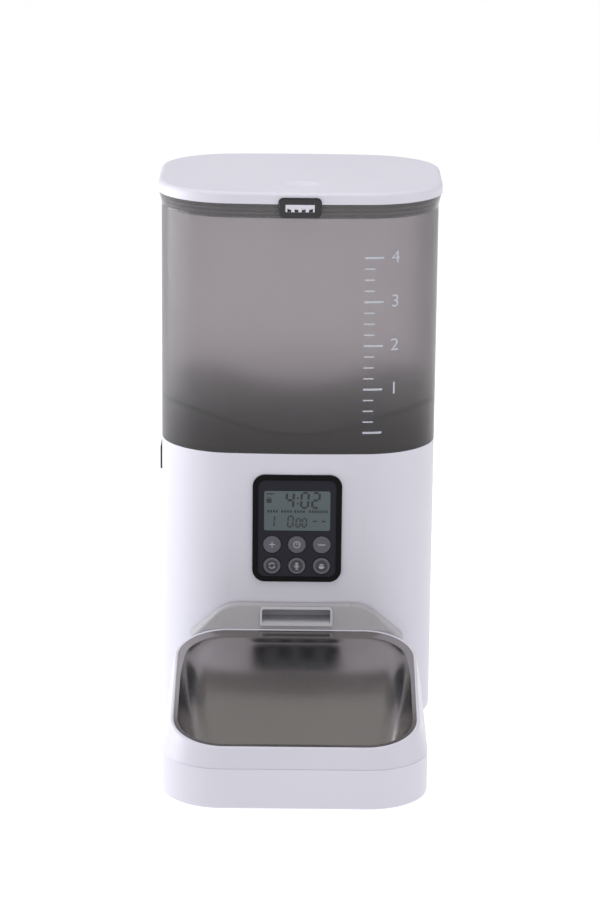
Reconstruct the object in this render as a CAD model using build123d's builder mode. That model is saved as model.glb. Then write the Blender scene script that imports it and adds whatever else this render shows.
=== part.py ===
from build123d import *
from math import acos, atan2, cos, degrees, pi, radians, sin, sqrt, tan
import os

# Automatic pet feeder: a smoked food tank on a white housing, with a tilted bowl in front.
# Millimetres, X to the right, the front faces -Y, Z up, origin under the middle of the whole feeder.

# Body, an oval column with a slightly curved front and back
BODY_WIDTH = 190.0
BODY_DEPTH = 155.0
CORNER_RADIUS = 51.0
FACE_RADIUS = 700.0
WALL = 2.5
FOOT_HEIGHT = 2.0
HOUSING_HEIGHT = 196.8
HOUSING_ROUND = 1.8
TANK_HEIGHT = 172.9

# Clearances
SEAM_GAP = 0.2
RUN_GAP = 0.4
FIT_GAP = 0.15
PIN_GAP = 0.05

# Lid and its plug seal
LID_HEIGHT = 7.7
LID_OVERHANG = 2.5
LID_WALL = 2.4
LID_PLATE = 3.0
LID_ROUND = 3.0
DIMPLE_WIDTH = 27.0
DIMPLE_DEPTH = 2.2
DIMPLE_SETBACK = 33.0
PLUG_DEPTH = 10.5
PLUG_WALL = 2.0
SEAL_SLEEVE = 1.4
SEAL_FIN_REACH = 1.4
SEAL_FIN_HEIGHT = 1.2
SEAL_FIN_COUNT = 4
SEAL_GAP = 0.7

# Lid hinge at the back of the tank
HINGE_RADIUS = 4.0
HINGE_SETBACK = 6.5
HINGE_DROP = 3.0
HINGE_PIN_RADIUS = 1.5
KNUCKLE_WIDTH = 44.0
EAR_WIDTH = 9.0
EAR_ROOT = 6.4

# Latch at the front of the tank's rim
LATCH_WIDTH = 28.4
LATCH_HEIGHT = 12.9
LATCH_RISE = 4.5
LATCH_DEPTH = 4.4
LATCH_ROUND = 3.0
LATCH_FACE = 1.8
COMB_WIDTH = 19.4
COMB_HEIGHT = 5.0
COMB_SLOTS = 4
COMB_SLOT_WIDTH = 2.6
COMB_SLOT_HEIGHT = 2.4
COMB_LIP = 1.4
COMB_LIP_THICKNESS = 0.8
LEAF_THICKNESS = 0.3
LEAF_WIDTH = 3.0

# Tank
TANK_FLANGE = 2.0
FLANGE_HEIGHT = 8.0
SPIGOT_DEPTH = 12.0
SPIGOT_WALL = 2.2
THROAT_RADIUS = 44.0
NECK_HEIGHT = 4.0
FUNNEL_SLOPE = 36.0
FUNNEL_WALL = 2.4

# Portion wheel in its pan
PAN_HEIGHT = 34.3
PAN_WALL = 2.2
DECK_THICKNESS = 2.5
HUB_RADIUS = 17.0
HUB_DOME = 10.0
VANE_COUNT = 6
VANE_THICKNESS = 2.5
VANE_TIP_GAP = 1.0
VANE_FLOOR_GAP = 0.6
VANE_HEADROOM = 7.0
SHIELD_THICKNESS = 1.6
SHIELD_LAP = 3.5
SHIELD_GAP = 1.0

# Gear train under the pan
GEAR_MODULE = 1.0
WHEEL_TEETH = 36
PINION_TEETH = 12
PRESSURE_ANGLE = 25.0
ADDENDUM = 0.8
DEDENDUM = 1.05
BACKLASH = 0.12
GEAR_FACE = 6.0
GEAR_STEP = 4.0
GEAR_CLEARANCE = 1.2
IDLER_BEARING = 50.0
MOTOR_BEARING = 5.0
DRIVE_HEX = 9.0
DRIVE_LENGTH = 18.0
SHAFT_RADIUS = 5.5
JOURNAL_RADIUS = 3.0
JOURNAL_DEPTH = 3.0
BUSH_WALL = 2.0
AXLE_RADIUS = 1.5
AXLE_SEAT = 1.6
CASE_WALL = 2.2
CASE_FLOOR = 2.4
COVER_PLATE = 2.4
EAR_RADIUS = 5.0
EAR_REACH = 26.0
MOTOR_RADIUS = 12.5
MOTOR_LENGTH = 32.0
MOTOR_BOSS_RADIUS = 5.0
MOTOR_BOSS_HEIGHT = 1.8
MOTOR_SHAFT_RADIUS = 1.5
MOTOR_SHAFT_SOCKET = 8.0
MOTOR_SCREW_SPREAD = 8.0

# Screws
SCREW_RADIUS = 1.5
SCREW_HEAD_RADIUS = 2.8
SCREW_HEAD = 1.8
SCREW_BITE = 8.0

# Food chute and the hood around its mouth
MOUTH_WIDTH = 47.2
MOUTH_BOTTOM = 80.4
MOUTH_TOP = 89.5
CHUTE_WALL = 1.6
MOUTH_ROUND = 1.2
CHUTE_THROAT = 5.0
CHUTE_LIP_RISE = 1.5
CHUTE_DROP = 17.2
CHUTE_ROOF_GAP = 5.9
CHUTE_BACK = 24.0
CHUTE_FRONT = 46.0
BOARD_BYPASS = 14.0
HOOD_TOP = 92.5
HOOD_BOTTOM = 62.0
HOOD_LIP = 75.5
HOOD_TOP_DEPTH = 4.5
HOOD_LIP_DEPTH = 9.0
HOOD_WIDTH = 149.0
HOOD_TOP_WIDTH = 98.0
HOOD_SHOULDER = 68.0
HOOD_WALL = 2.0
HOOD_ROUND = 26.0
HOOD_SHOULDER_ROUND = 8.0
HOOD_LIP_ROUND = 6.0
HOOD_EDGE = 2.0

# Tray, bowl holder and bowl
TRAY_REACH = 157.8
TRAY_WIDTH = 175.4
TRAY_RADIUS = 40.0
TRAY_HEIGHT = 28.0
TRAY_WALL = 2.4
TRAY_FLOOR = 2.4
TRAY_ROUND = 1.6
SEAM_ROUND = 0.8
TRAY_OVERLAP = 70.0
TONGUE_WIDTH = 14.0
TONGUE_HEIGHT = 4.0
TONGUE_LENGTH = 8.0
TONGUE_SPREAD = 64.0
TONGUE_LEVEL = 8.0
TRAY_FOOT_SETBACK = 34.0
TRAY_FOOT_SPREAD = 110.0
RIM_FRONT_HEIGHT = 42.3
RIM_TILT = 13.3
RIM_INSET = 5.5
RIM_RADIUS = 36.0
RIM_PLATE = 2.2
RIM_BAND = 2.2
RIM_ROUND = 1.2
BOWL_FLANGE = 2.4
BOWL_SHEET = 0.9
BOWL_FRONT_DEPTH = 30.0
BOWL_REAR_DEPTH = 0.8
BOWL_SHELF = 38.0
BOWL_SHELF_FALL = 2.0
BOWL_CREST = 260.0
BOWL_DRAFT = 30.0
BOWL_ROUND = 20.0

# Control panel
PANEL_WIDTH = 61.2
PANEL_HEIGHT = 76.2
PANEL_RISE = 0.25
PANEL_RADIUS = 8.5
PANEL_PROUD = 1.6
PANEL_FLANGE = 2.5
PANEL_FLANGE_THICKNESS = 2.0
BEZEL_RIM = 3.6
BEZEL_LEDGE = 0.9
OVERLAY_RECESS = 0.6
OVERLAY_THICKNESS = 2.0
LCD_WIDTH = 45.5
LCD_HEIGHT = 28.3
LCD_RISE = 12.8
LCD_RADIUS = 1.5
LCD_BORDER = 1.2
KEY_RADIUS = 6.1
KEY_PITCH_X = 17.1
KEY_PITCH_Z = 15.2
KEY_DROP = 18.9
KEY_PROUD = 0.35
KEY_ROUND = 0.3
KEY_FLANGE = 0.6
KEY_FLANGE_THICKNESS = 0.8
KEY_STEM_RADIUS = 2.0
KEY_STEM = 1.5
KEY_TRAVEL = 0.8
SWITCH_SIZE = 6.0
SWITCH_HEIGHT = 3.6
BOARD_THICKNESS = 1.6
BOARD_LAP = 1.4
POST_RADIUS = 2.6
MICROPHONE_RADIUS = 3.0
MICROPHONE_HEIGHT = 2.6

# Tank lock on the left side
LOCK_WIDTH = 24.0
LOCK_HEIGHT = 17.0
LOCK_DROP = 21.3
LOCK_PROUD = 2.0
LOCK_FLANGE = 2.0
LOCK_FLANGE_THICKNESS = 1.6
LOCK_ROUND = 2.5
LOCK_SEAT_GAP = 3.0

# Base, feet, battery and rear sockets
BASE_THICKNESS = 4.0
COLUMN_SIZE = 11.0
COLUMN_SPREAD = 38.0
FOOT_RADIUS = 8.0
FOOT_RECESS = 1.0
FOOT_SPREAD_X = 122.0
FOOT_SPREAD_Y = 104.0
CELL_RADIUS = 16.6
CELL_LENGTH = 61.5
CELL_COUNT = 3
CELL_GAP = 0.6
BATTERY_WALL = 2.0
CONTACT_THICKNESS = 0.8
CONTACT_WIDTH = 18.0
BATTERY_SETBACK = 12.0
DOOR_LIP = 2.0
DOOR_THICKNESS = 2.0
SPEAKER_RADIUS = 14.0
SPEAKER_DEPTH = 9.0
SPEAKER_LEVEL = 96.0
SPEAKER_OFFSET = -40.0
SPEAKER_RING = 1.8
SPEAKER_STANDOFF = 3.0
GRILLE_SLOTS = 5
GRILLE_SLOT_WIDTH = 2.2
GRILLE_SLOT_LENGTH = 20.0
GRILLE_PITCH = 4.6
JACK_LEVEL = 18.0
JACK_OFFSET = 45.0
JACK_RADIUS = 5.5
JACK_BORE_RADIUS = 2.8
JACK_PIN_RADIUS = 1.0
JACK_DEPTH = 13.0
JACK_BODY = 14.0

# Levels and planes worked out from the sizes above
UPWARD = (Align.CENTER, Align.CENTER, Align.MIN)
DOWNWARD = (Align.CENTER, Align.CENTER, Align.MAX)

housing_bottom = FOOT_HEIGHT
housing_top = housing_bottom + HOUSING_HEIGHT
tank_bottom = housing_top + SEAM_GAP
tank_top = tank_bottom + TANK_HEIGHT
lid_bottom = tank_top + RUN_GAP
lid_top = lid_bottom + LID_HEIGHT
base_top = housing_bottom + BASE_THICKNESS
spigot_bottom = tank_bottom - SPIGOT_DEPTH
pan_top = spigot_bottom - SEAM_GAP
deck_top = pan_top - PAN_HEIGHT
deck_bottom = deck_top - DECK_THICKNESS
panel_level = (housing_top + HOOD_TOP) / 2 + PANEL_RISE
lock_level = housing_top - LOCK_DROP

total_depth = TRAY_REACH + BODY_DEPTH + HINGE_SETBACK + HINGE_RADIUS
body_y = TRAY_REACH + BODY_DEPTH / 2 - total_depth / 2
body_front = body_y - BODY_DEPTH / 2
body_back = body_y + BODY_DEPTH / 2
tray_front = body_front - TRAY_REACH
side_x = BODY_WIDTH / 2


def body_plane(level):
    return Plane(origin=(0, body_y, level), x_dir=(1, 0, 0), z_dir=(0, 0, 1))


def front_plane(y, level=0.0):
    return Plane(origin=(0, y, level), x_dir=(1, 0, 0), z_dir=(0, -1, 0))


def body_outline(inset):
    """Draw the body's oval, drawn in by inset, from eight tangent arcs and lines."""
    corner_x = side_x - CORNER_RADIUS
    face_y = FACE_RADIUS - BODY_DEPTH / 2
    span = FACE_RADIUS - CORNER_RADIUS
    corner_y = sqrt(span**2 - corner_x**2) - face_y
    lean_x = corner_x / span
    lean_y = (corner_y + face_y) / span
    meet_x = (FACE_RADIUS - inset) * lean_x
    meet_y = (FACE_RADIUS - inset) * lean_y - face_y
    edge_x = side_x - inset
    edge_y = BODY_DEPTH / 2 - inset
    ThreePointArc((-meet_x, -meet_y), (0, -edge_y), (meet_x, -meet_y))
    TangentArc((meet_x, -meet_y), (edge_x, -corner_y), tangent=(lean_y, lean_x))
    Line((edge_x, -corner_y), (edge_x, corner_y))
    TangentArc((edge_x, corner_y), (meet_x, meet_y), tangent=(0, 1))
    ThreePointArc((meet_x, meet_y), (0, edge_y), (-meet_x, meet_y))
    TangentArc((-meet_x, meet_y), (-edge_x, corner_y), tangent=(-lean_y, -lean_x))
    Line((-edge_x, corner_y), (-edge_x, -corner_y))
    TangentArc((-edge_x, -corner_y), (-meet_x, -meet_y), tangent=(0, -1))


def body_column(inset, bottom, top):
    """A solid oval column inside the body outline."""
    with BuildPart() as column:
        with BuildSketch(body_plane(bottom)):
            with BuildLine():
                body_outline(inset)
            make_face()
        extrude(amount=top - bottom)
    return column.part


def block(low, high, mode=Mode.ADD):
    """A box between two opposite corners."""
    size = [b - a for a, b in zip(low, high)]
    middle = [(a + b) / 2 for a, b in zip(low, high)]
    with Locations(tuple(middle)):
        Box(*size, mode=mode)


def face_sag(inset, x):
    """How far the curved front falls back at x from the middle."""
    radius = FACE_RADIUS - inset
    return radius - sqrt(radius**2 - x**2)


def upward_screws(spots, head_level, length):
    """Screws whose heads are at the bottom."""
    with Locations(*[(x, y, head_level) for x, y in spots]):
        Cylinder(SCREW_HEAD_RADIUS, SCREW_HEAD, align=UPWARD)
        Cylinder(SCREW_RADIUS, SCREW_HEAD + length, align=UPWARD)


def downward_screws(spots, seat_level, length):
    """Screws whose heads sit on top of the piece they hold."""
    with Locations(*[(x, y, seat_level) for x, y in spots]):
        Cylinder(SCREW_HEAD_RADIUS, SCREW_HEAD, align=UPWARD)
        Cylinder(SCREW_RADIUS, length, align=DOWNWARD)


def screw_holes(spots, level, depth, align=UPWARD):
    with Locations(*[(x, y, level) for x, y in spots]):
        Cylinder(SCREW_RADIUS + FIT_GAP, depth, align=align, mode=Mode.SUBTRACT)


os.makedirs("parts", exist_ok=True)


def finish(piece, label):
    piece.part.label = label
    export_step(piece.part, f"parts/{label}.step")


# Columns inside the housing that carry the pan's deck and take the base screws
column_x = side_x - WALL - COLUMN_SIZE / 2
column_spots = [
    (side * column_x, body_y + end * COLUMN_SPREAD / 2) for side in (-1, 1) for end in (-1, 1)
]

# Control panel levels, from its face back to the circuit board
panel_face = body_front - PANEL_PROUD
overlay_face = panel_face + OVERLAY_RECESS
overlay_back = overlay_face + OVERLAY_THICKNESS
key_flange_face = overlay_back + FIT_GAP
key_stem_end = key_flange_face + KEY_FLANGE_THICKNESS + KEY_STEM
switch_face = key_stem_end + KEY_TRAVEL + FIT_GAP
board_face = switch_face + SWITCH_HEIGHT
board_back = board_face + BOARD_THICKNESS
bezel_half = PANEL_WIDTH / 2 + PANEL_FLANGE
flange_face = body_front + WALL + face_sag(WALL, bezel_half) + FIT_GAP
bezel_back = flange_face + PANEL_FLANGE_THICKNESS
lcd_level = panel_level + LCD_RISE
key_level = panel_level - KEY_DROP
overlay_width = PANEL_WIDTH - 2 * BEZEL_RIM
overlay_height = PANEL_HEIGHT - 2 * BEZEL_RIM
overlay_radius = PANEL_RADIUS - BEZEL_RIM
board_width = PANEL_WIDTH + 2 * BOARD_LAP
board_height = PANEL_HEIGHT + 2 * BOARD_LAP
post_x = overlay_width / 2 - BEZEL_LEDGE + POST_RADIUS
post_z = overlay_height / 2 - BEZEL_LEDGE + POST_RADIUS
post_spots = [(x, z) for x in (-post_x, post_x) for z in (-post_z, post_z)]
key_spots = {
    "plus": (-KEY_PITCH_X, KEY_PITCH_Z / 2),
    "set": (0, KEY_PITCH_Z / 2),
    "minus": (KEY_PITCH_X, KEY_PITCH_Z / 2),
    "mode": (-KEY_PITCH_X, -KEY_PITCH_Z / 2),
    "record": (0, -KEY_PITCH_Z / 2),
    "feed": (KEY_PITCH_X, -KEY_PITCH_Z / 2),
}


# Hood face: it leans back from its lip to its top
def hood_face(level):
    lean = (HOOD_LIP_DEPTH - HOOD_TOP_DEPTH) / (HOOD_TOP - HOOD_LIP)
    return body_front - HOOD_TOP_DEPTH - (HOOD_TOP - level) * lean


# Chute channel in the YZ plane: lip, ramp, drop shaft under the pan and the roof back to the mouth
throat_y = body_front + CHUTE_THROAT
throat_floor = MOUTH_BOTTOM + CHUTE_LIP_RISE
shaft_top = deck_bottom - CHUTE_WALL
shaft_back = body_y - CHUTE_BACK
shaft_front = body_y - CHUTE_FRONT
ramp_top = shaft_top - CHUTE_DROP
bypass_y = body_front + BOARD_BYPASS
roof_step = panel_level - board_height / 2 - CHUTE_ROOF_GAP
channel = [
    (hood_face(MOUTH_BOTTOM), MOUTH_BOTTOM),
    (throat_y, throat_floor),
    (shaft_back, ramp_top),
    (shaft_back, shaft_top),
    (shaft_front, shaft_top),
    (bypass_y, roof_step + WALL + CHUTE_WALL),
    (throat_y, roof_step),
    (throat_y, MOUTH_TOP),
    (hood_face(MOUTH_TOP), MOUTH_TOP),
]
chute_half = MOUTH_WIDTH / 2 + CHUTE_WALL
mouth_skin = MOUTH_TOP + CHUTE_WALL
mouth_round = MOUTH_ROUND + CHUTE_WALL

# Tray levels and the tilted plane of the bowl's rim
tray_bottom = FOOT_HEIGHT
tray_seam = tray_bottom + TRAY_HEIGHT
tray_back = body_front + TRAY_OVERLAP
tray_length = tray_back - tray_front
tray_middle = (tray_back + tray_front) / 2
hood_front = body_front - HOOD_LIP_DEPTH
rim_front_y = tray_front + RIM_INSET
rim_back_y = hood_front - RUN_GAP
rim_run = rim_back_y - rim_front_y
tilt = radians(RIM_TILT)
rim_length = rim_run / cos(tilt)
rim_width = TRAY_WIDTH - 2 * RIM_INSET
rim_normal = (0, -sin(tilt), cos(tilt))
rim_middle = (0, rim_front_y + rim_run / 2, RIM_FRONT_HEIGHT + rim_run / 2 * tan(tilt))
rim_plane = Plane(origin=rim_middle, x_dir=(1, 0, 0), z_dir=rim_normal)
tongue_spots = [-TONGUE_SPREAD / 2, TONGUE_SPREAD / 2]

# Hinge axis of the lid
hinge_y = body_back + HINGE_SETBACK
hinge_z = tank_top - HINGE_DROP
lid_back = body_back + LID_OVERHANG

# Latch place
latch_top = tank_top + LATCH_RISE
latch_bottom = latch_top - LATCH_HEIGHT
latch_level = (latch_top + latch_bottom) / 2
latch_back = body_front - FIT_GAP
latch_face = latch_back - LATCH_DEPTH
comb_lip_face = latch_face + LATCH_FACE + FIT_GAP

# Tank lock: its flange inside the wall, and the seat of its leaf spring
lock_flange_x = WALL + FIT_GAP
lock_seat_x = -side_x + lock_flange_x + LOCK_FLANGE_THICKNESS + LOCK_SEAT_GAP
lock_arm_y = LOCK_WIDTH / 2 + LOCK_FLANGE + RUN_GAP

# Gear layout, from the portion wheel's axis to the motor
gear_distance = GEAR_MODULE * (WHEEL_TEETH + PINION_TEETH) / 2
wheel_tip = GEAR_MODULE * (WHEEL_TEETH / 2 + ADDENDUM)
pinion_tip = GEAR_MODULE * (PINION_TEETH / 2 + ADDENDUM)
output_spot = (0, body_y)
idler_spot = (
    gear_distance * cos(radians(IDLER_BEARING)),
    body_y + gear_distance * sin(radians(IDLER_BEARING)),
)
motor_spot = (
    idler_spot[0] + gear_distance * cos(radians(MOTOR_BEARING)),
    idler_spot[1] + gear_distance * sin(radians(MOTOR_BEARING)),
)
cover_top = deck_bottom
cover_bottom = cover_top - COVER_PLATE
output_gear_top = cover_bottom - GEAR_CLEARANCE
output_gear_bottom = output_gear_top - GEAR_FACE
idler_wheel_top = output_gear_bottom - GEAR_STEP
idler_wheel_bottom = idler_wheel_top - GEAR_FACE
case_floor_top = idler_wheel_bottom - GEAR_STEP
case_bottom = case_floor_top - CASE_FLOOR
ear_spots = [
    (-EAR_REACH, body_y),
    (idler_spot[0], idler_spot[1] + EAR_REACH),
    (motor_spot[0] + EAR_REACH, motor_spot[1]),
]

# Battery compartment in the base
cell_pitch = 2 * CELL_RADIUS + CELL_GAP
battery_y = body_y + BATTERY_SETBACK
battery_half_y = CELL_COUNT * cell_pitch / 2 + CELL_GAP
battery_half_x = CELL_LENGTH / 2 + CONTACT_THICKNESS + CELL_GAP
battery_roof = base_top + 2 * CELL_RADIUS + CELL_GAP
door_half_x = battery_half_x - DOOR_LIP
door_half_y = battery_half_y - DOOR_LIP

# Housing: the white lower body
housing_core = body_column(WALL, housing_bottom - WALL, housing_top + WALL)
speaker_back = body_back - WALL - face_sag(WALL, -SPEAKER_OFFSET + SPEAKER_RADIUS) - SPEAKER_STANDOFF
with BuildPart() as speaker_ring:
    with BuildSketch(front_plane(body_back - WALL / 2, SPEAKER_LEVEL)):
        with Locations((SPEAKER_OFFSET, 0)):
            Circle(SPEAKER_RADIUS + FIT_GAP + SPEAKER_RING)
            Circle(SPEAKER_RADIUS + FIT_GAP, mode=Mode.SUBTRACT)
    extrude(amount=body_back - WALL / 2 - speaker_back + SPEAKER_DEPTH / 2)
    with BuildSketch(front_plane(speaker_back, SPEAKER_LEVEL)):
        with Locations((SPEAKER_OFFSET, 0)):
            Circle(SPEAKER_RADIUS + FIT_GAP)
            Circle(SPEAKER_RADIUS - SPEAKER_RING, mode=Mode.SUBTRACT)
    extrude(amount=-SPEAKER_RING)
housing_skin = body_column(0, housing_bottom, housing_top)
with BuildPart() as housing:
    add(housing_skin)
    fillet(housing.faces().sort_by(Axis.Z)[0].edges(), HOUSING_ROUND)
    add(housing_core, mode=Mode.SUBTRACT)
    for x, y in column_spots:
        outer = x + COLUMN_SIZE / 2 if x > 0 else x - COLUMN_SIZE / 2
        wall_x = outer + WALL / 2 if x > 0 else outer - WALL / 2
        inner = x - COLUMN_SIZE / 2 if x > 0 else x + COLUMN_SIZE / 2
        low_x, high_x = min(inner, wall_x), max(inner, wall_x)
        block(
            (low_x, y - COLUMN_SIZE / 2, base_top),
            (high_x, y + COLUMN_SIZE / 2, deck_bottom),
        )
    screw_holes(column_spots, base_top, SCREW_BITE + FIT_GAP)
    screw_holes(column_spots, deck_bottom, SCREW_BITE + FIT_GAP, DOWNWARD)
    add(speaker_ring.part)
    with BuildSketch(front_plane(body_back, SPEAKER_LEVEL)):
        with Locations((SPEAKER_OFFSET, 0)):
            with GridLocations(GRILLE_PITCH, 1, GRILLE_SLOTS, 1):
                SlotOverall(GRILLE_SLOT_LENGTH, GRILLE_SLOT_WIDTH, rotation=90)
    extrude(amount=2 * WALL, both=True, mode=Mode.SUBTRACT)
    with BuildSketch(front_plane(body_back, JACK_LEVEL)):
        with Locations((JACK_OFFSET, 0)):
            Circle(JACK_RADIUS + FIT_GAP)
    extrude(amount=3 * WALL, both=True, mode=Mode.SUBTRACT)
    with BuildSketch(front_plane(body_front, panel_level)):
        RectangleRounded(PANEL_WIDTH + 2 * FIT_GAP, PANEL_HEIGHT + 2 * FIT_GAP, PANEL_RADIUS + FIT_GAP)
    extrude(amount=3 * WALL, both=True, mode=Mode.SUBTRACT)
    block(
        (-chute_half - FIT_GAP, body_front - WALL, MOUTH_BOTTOM - CHUTE_WALL),
        (chute_half + FIT_GAP, throat_y, mouth_skin + FIT_GAP),
        Mode.SUBTRACT,
    )
    for x in tongue_spots:
        block(
            (x - TONGUE_WIDTH / 2 - RUN_GAP, body_front - WALL, TONGUE_LEVEL - RUN_GAP),
            (x + TONGUE_WIDTH / 2 + RUN_GAP, body_front + 3 * WALL, TONGUE_LEVEL + TONGUE_HEIGHT + RUN_GAP),
            Mode.SUBTRACT,
        )
    block(
        (-side_x + WALL / 2, body_y - lock_arm_y - WALL, lock_level - LEAF_WIDTH),
        (lock_seat_x + WALL, body_y + lock_arm_y + WALL, lock_level + LEAF_WIDTH),
    )
    block(
        (-side_x + WALL, body_y - lock_arm_y, lock_level - LEAF_WIDTH),
        (lock_seat_x, body_y + lock_arm_y, lock_level + LEAF_WIDTH),
        Mode.SUBTRACT,
    )
    block(
        (-side_x - WALL, body_y - LOCK_WIDTH / 2 - RUN_GAP, lock_level - LOCK_HEIGHT / 2 - RUN_GAP),
        (-side_x + 2 * WALL, body_y + LOCK_WIDTH / 2 + RUN_GAP, lock_level + LOCK_HEIGHT / 2 + RUN_GAP),
        Mode.SUBTRACT,
    )
finish(housing, "housing")

# Base cover: the floor of the housing, with the battery hatch
base_plate = body_column(WALL + FIT_GAP, housing_bottom, base_top)
foot_spots = [
    (x * FOOT_SPREAD_X / 2, body_y + y * FOOT_SPREAD_Y / 2) for x in (-1, 1) for y in (-1, 1)
]
with BuildPart() as base_cover:
    add(base_plate)
    block(
        (-door_half_x, battery_y - door_half_y, housing_bottom),
        (door_half_x, battery_y + door_half_y, base_top),
        Mode.SUBTRACT,
    )
    block(
        (-battery_half_x, battery_y - battery_half_y, housing_bottom),
        (battery_half_x, battery_y + battery_half_y, housing_bottom + DOOR_THICKNESS),
        Mode.SUBTRACT,
    )
    screw_holes(column_spots, housing_bottom, BASE_THICKNESS)
    with Locations(*[(x, y, housing_bottom) for x, y in column_spots]):
        Cylinder(
            SCREW_HEAD_RADIUS + FIT_GAP, SCREW_HEAD + FIT_GAP, align=UPWARD, mode=Mode.SUBTRACT
        )
    with Locations(*[(x, y, housing_bottom) for x, y in foot_spots]):
        Cylinder(FOOT_RADIUS + FIT_GAP, FOOT_RECESS, align=UPWARD, mode=Mode.SUBTRACT)
finish(base_cover, "base_cover")

with BuildPart() as rubber_feet:
    with Locations(*[(x, y, 0) for x, y in foot_spots]):
        Cylinder(FOOT_RADIUS, FOOT_HEIGHT + FOOT_RECESS, align=UPWARD)
    chamfer(rubber_feet.faces().group_by(Axis.Z)[0].edges(), FOOT_RECESS / 2)
finish(rubber_feet, "rubber_feet")

with BuildPart() as cover_screws:
    upward_screws(column_spots, housing_bottom + FIT_GAP, BASE_THICKNESS - SCREW_HEAD + SCREW_BITE / 2)
finish(cover_screws, "cover_screws")

# Battery compartment, its hatch, contacts and cells
with BuildPart() as battery_box:
    block(
        (-battery_half_x - BATTERY_WALL, battery_y - battery_half_y - BATTERY_WALL, base_top),
        (
            battery_half_x + BATTERY_WALL,
            battery_y + battery_half_y + BATTERY_WALL,
            battery_roof + BATTERY_WALL,
        ),
    )
    block(
        (-battery_half_x, battery_y - battery_half_y, base_top),
        (battery_half_x, battery_y + battery_half_y, battery_roof),
        Mode.SUBTRACT,
    )
finish(battery_box, "battery_box")

cell_level = battery_roof - CELL_RADIUS - FIT_GAP
cell_rows = [battery_y + (i - (CELL_COUNT - 1) / 2) * cell_pitch for i in range(CELL_COUNT)]
with BuildPart() as battery_cells:
    with Locations(*[(0, y, cell_level) for y in cell_rows]):
        Cylinder(CELL_RADIUS, CELL_LENGTH, rotation=(0, 90, 0))
finish(battery_cells, "battery_cells")

with BuildPart() as battery_contacts:
    for side in (-1, 1):
        contact_x = side * (battery_half_x - CONTACT_THICKNESS / 2)
        with Locations(*[(contact_x, y, cell_level) for y in cell_rows]):
            Box(CONTACT_THICKNESS, CONTACT_WIDTH, CONTACT_WIDTH)
finish(battery_contacts, "battery_contacts")

door_screw_y = battery_y - battery_half_y + SCREW_HEAD_RADIUS + DOOR_LIP
door_step = housing_bottom + DOOR_THICKNESS - FIT_GAP
with BuildPart() as battery_door:
    block(
        (-battery_half_x + FIT_GAP, battery_y - battery_half_y + FIT_GAP, housing_bottom),
        (battery_half_x - FIT_GAP, battery_y + battery_half_y - FIT_GAP, door_step),
    )
    block(
        (-door_half_x + FIT_GAP, battery_y - door_half_y + FIT_GAP, door_step),
        (door_half_x - FIT_GAP, battery_y + door_half_y - FIT_GAP, base_top),
    )
    screw_holes([(0, door_screw_y)], housing_bottom, BASE_THICKNESS)
    with Locations((0, door_screw_y, housing_bottom)):
        Cylinder(
            SCREW_HEAD_RADIUS + FIT_GAP, SCREW_HEAD + FIT_GAP, align=UPWARD, mode=Mode.SUBTRACT
        )
finish(battery_door, "battery_door")

with BuildPart() as door_screw:
    upward_screws([(0, door_screw_y)], housing_bottom + FIT_GAP, BASE_THICKNESS - SCREW_HEAD - FIT_GAP)
finish(door_screw, "door_screw")

# Speaker behind the rear grille, and the power socket
with BuildPart() as speaker:
    with BuildSketch(front_plane(speaker_back - FIT_GAP, SPEAKER_LEVEL)):
        with Locations((SPEAKER_OFFSET, 0)):
            Circle(SPEAKER_RADIUS)
    extrude(amount=SPEAKER_DEPTH / 3)
    with BuildSketch(front_plane(speaker_back - FIT_GAP - SPEAKER_DEPTH / 3, SPEAKER_LEVEL)):
        with Locations((SPEAKER_OFFSET, 0)):
            Circle(SPEAKER_RADIUS / 2)
    extrude(amount=2 * SPEAKER_DEPTH / 3)
finish(speaker, "speaker")

jack_wall = body_back - face_sag(0, JACK_OFFSET + JACK_RADIUS)
jack_inside = jack_wall - WALL - face_sag(0, JACK_OFFSET + JACK_BODY / 2) / 2
with BuildPart() as dc_jack:
    with BuildSketch(front_plane(jack_wall, JACK_LEVEL)):
        with Locations((JACK_OFFSET, 0)):
            Circle(JACK_RADIUS)
    extrude(amount=jack_wall - jack_inside)
    with BuildSketch(front_plane(jack_inside, JACK_LEVEL)):
        with Locations((JACK_OFFSET, 0)):
            Rectangle(JACK_BODY, JACK_BODY)
    extrude(amount=JACK_DEPTH)
    with BuildSketch(front_plane(jack_wall, JACK_LEVEL)):
        with Locations((JACK_OFFSET, 0)):
            Circle(JACK_BORE_RADIUS)
            Circle(JACK_PIN_RADIUS, mode=Mode.SUBTRACT)
    extrude(amount=JACK_DEPTH, mode=Mode.SUBTRACT)
finish(dc_jack, "dc_jack")

# Pan of the portion wheel, with the deck that closes the housing under the tank
deck_plate = body_column(WALL + FIT_GAP, deck_bottom, deck_top)
with BuildPart() as rotor_pan:
    add(deck_plate)
    with BuildSketch(body_plane(deck_top)):
        Circle(THROAT_RADIUS + PAN_WALL)
        Circle(THROAT_RADIUS, mode=Mode.SUBTRACT)
    extrude(amount=PAN_HEIGHT)
    with BuildSketch(body_plane(deck_bottom)):
        Circle(THROAT_RADIUS)
        with Locations((0, (shaft_back + shaft_front) / 2 - body_y)):
            Rectangle(MOUTH_WIDTH, shaft_back - shaft_front, mode=Mode.INTERSECT)
        Circle(SHAFT_RADIUS + PIN_GAP + BUSH_WALL + FIT_GAP)
    extrude(amount=DECK_THICKNESS, mode=Mode.SUBTRACT)
    block(
        (-bezel_half - RUN_GAP, body_front, deck_bottom),
        (bezel_half + RUN_GAP, board_back + SCREW_HEAD + RUN_GAP, deck_top),
        Mode.SUBTRACT,
    )
    screw_holes(column_spots, deck_bottom, DECK_THICKNESS)
    screw_holes(ear_spots, deck_bottom, DECK_THICKNESS)
finish(rotor_pan, "rotor_pan")

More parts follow.
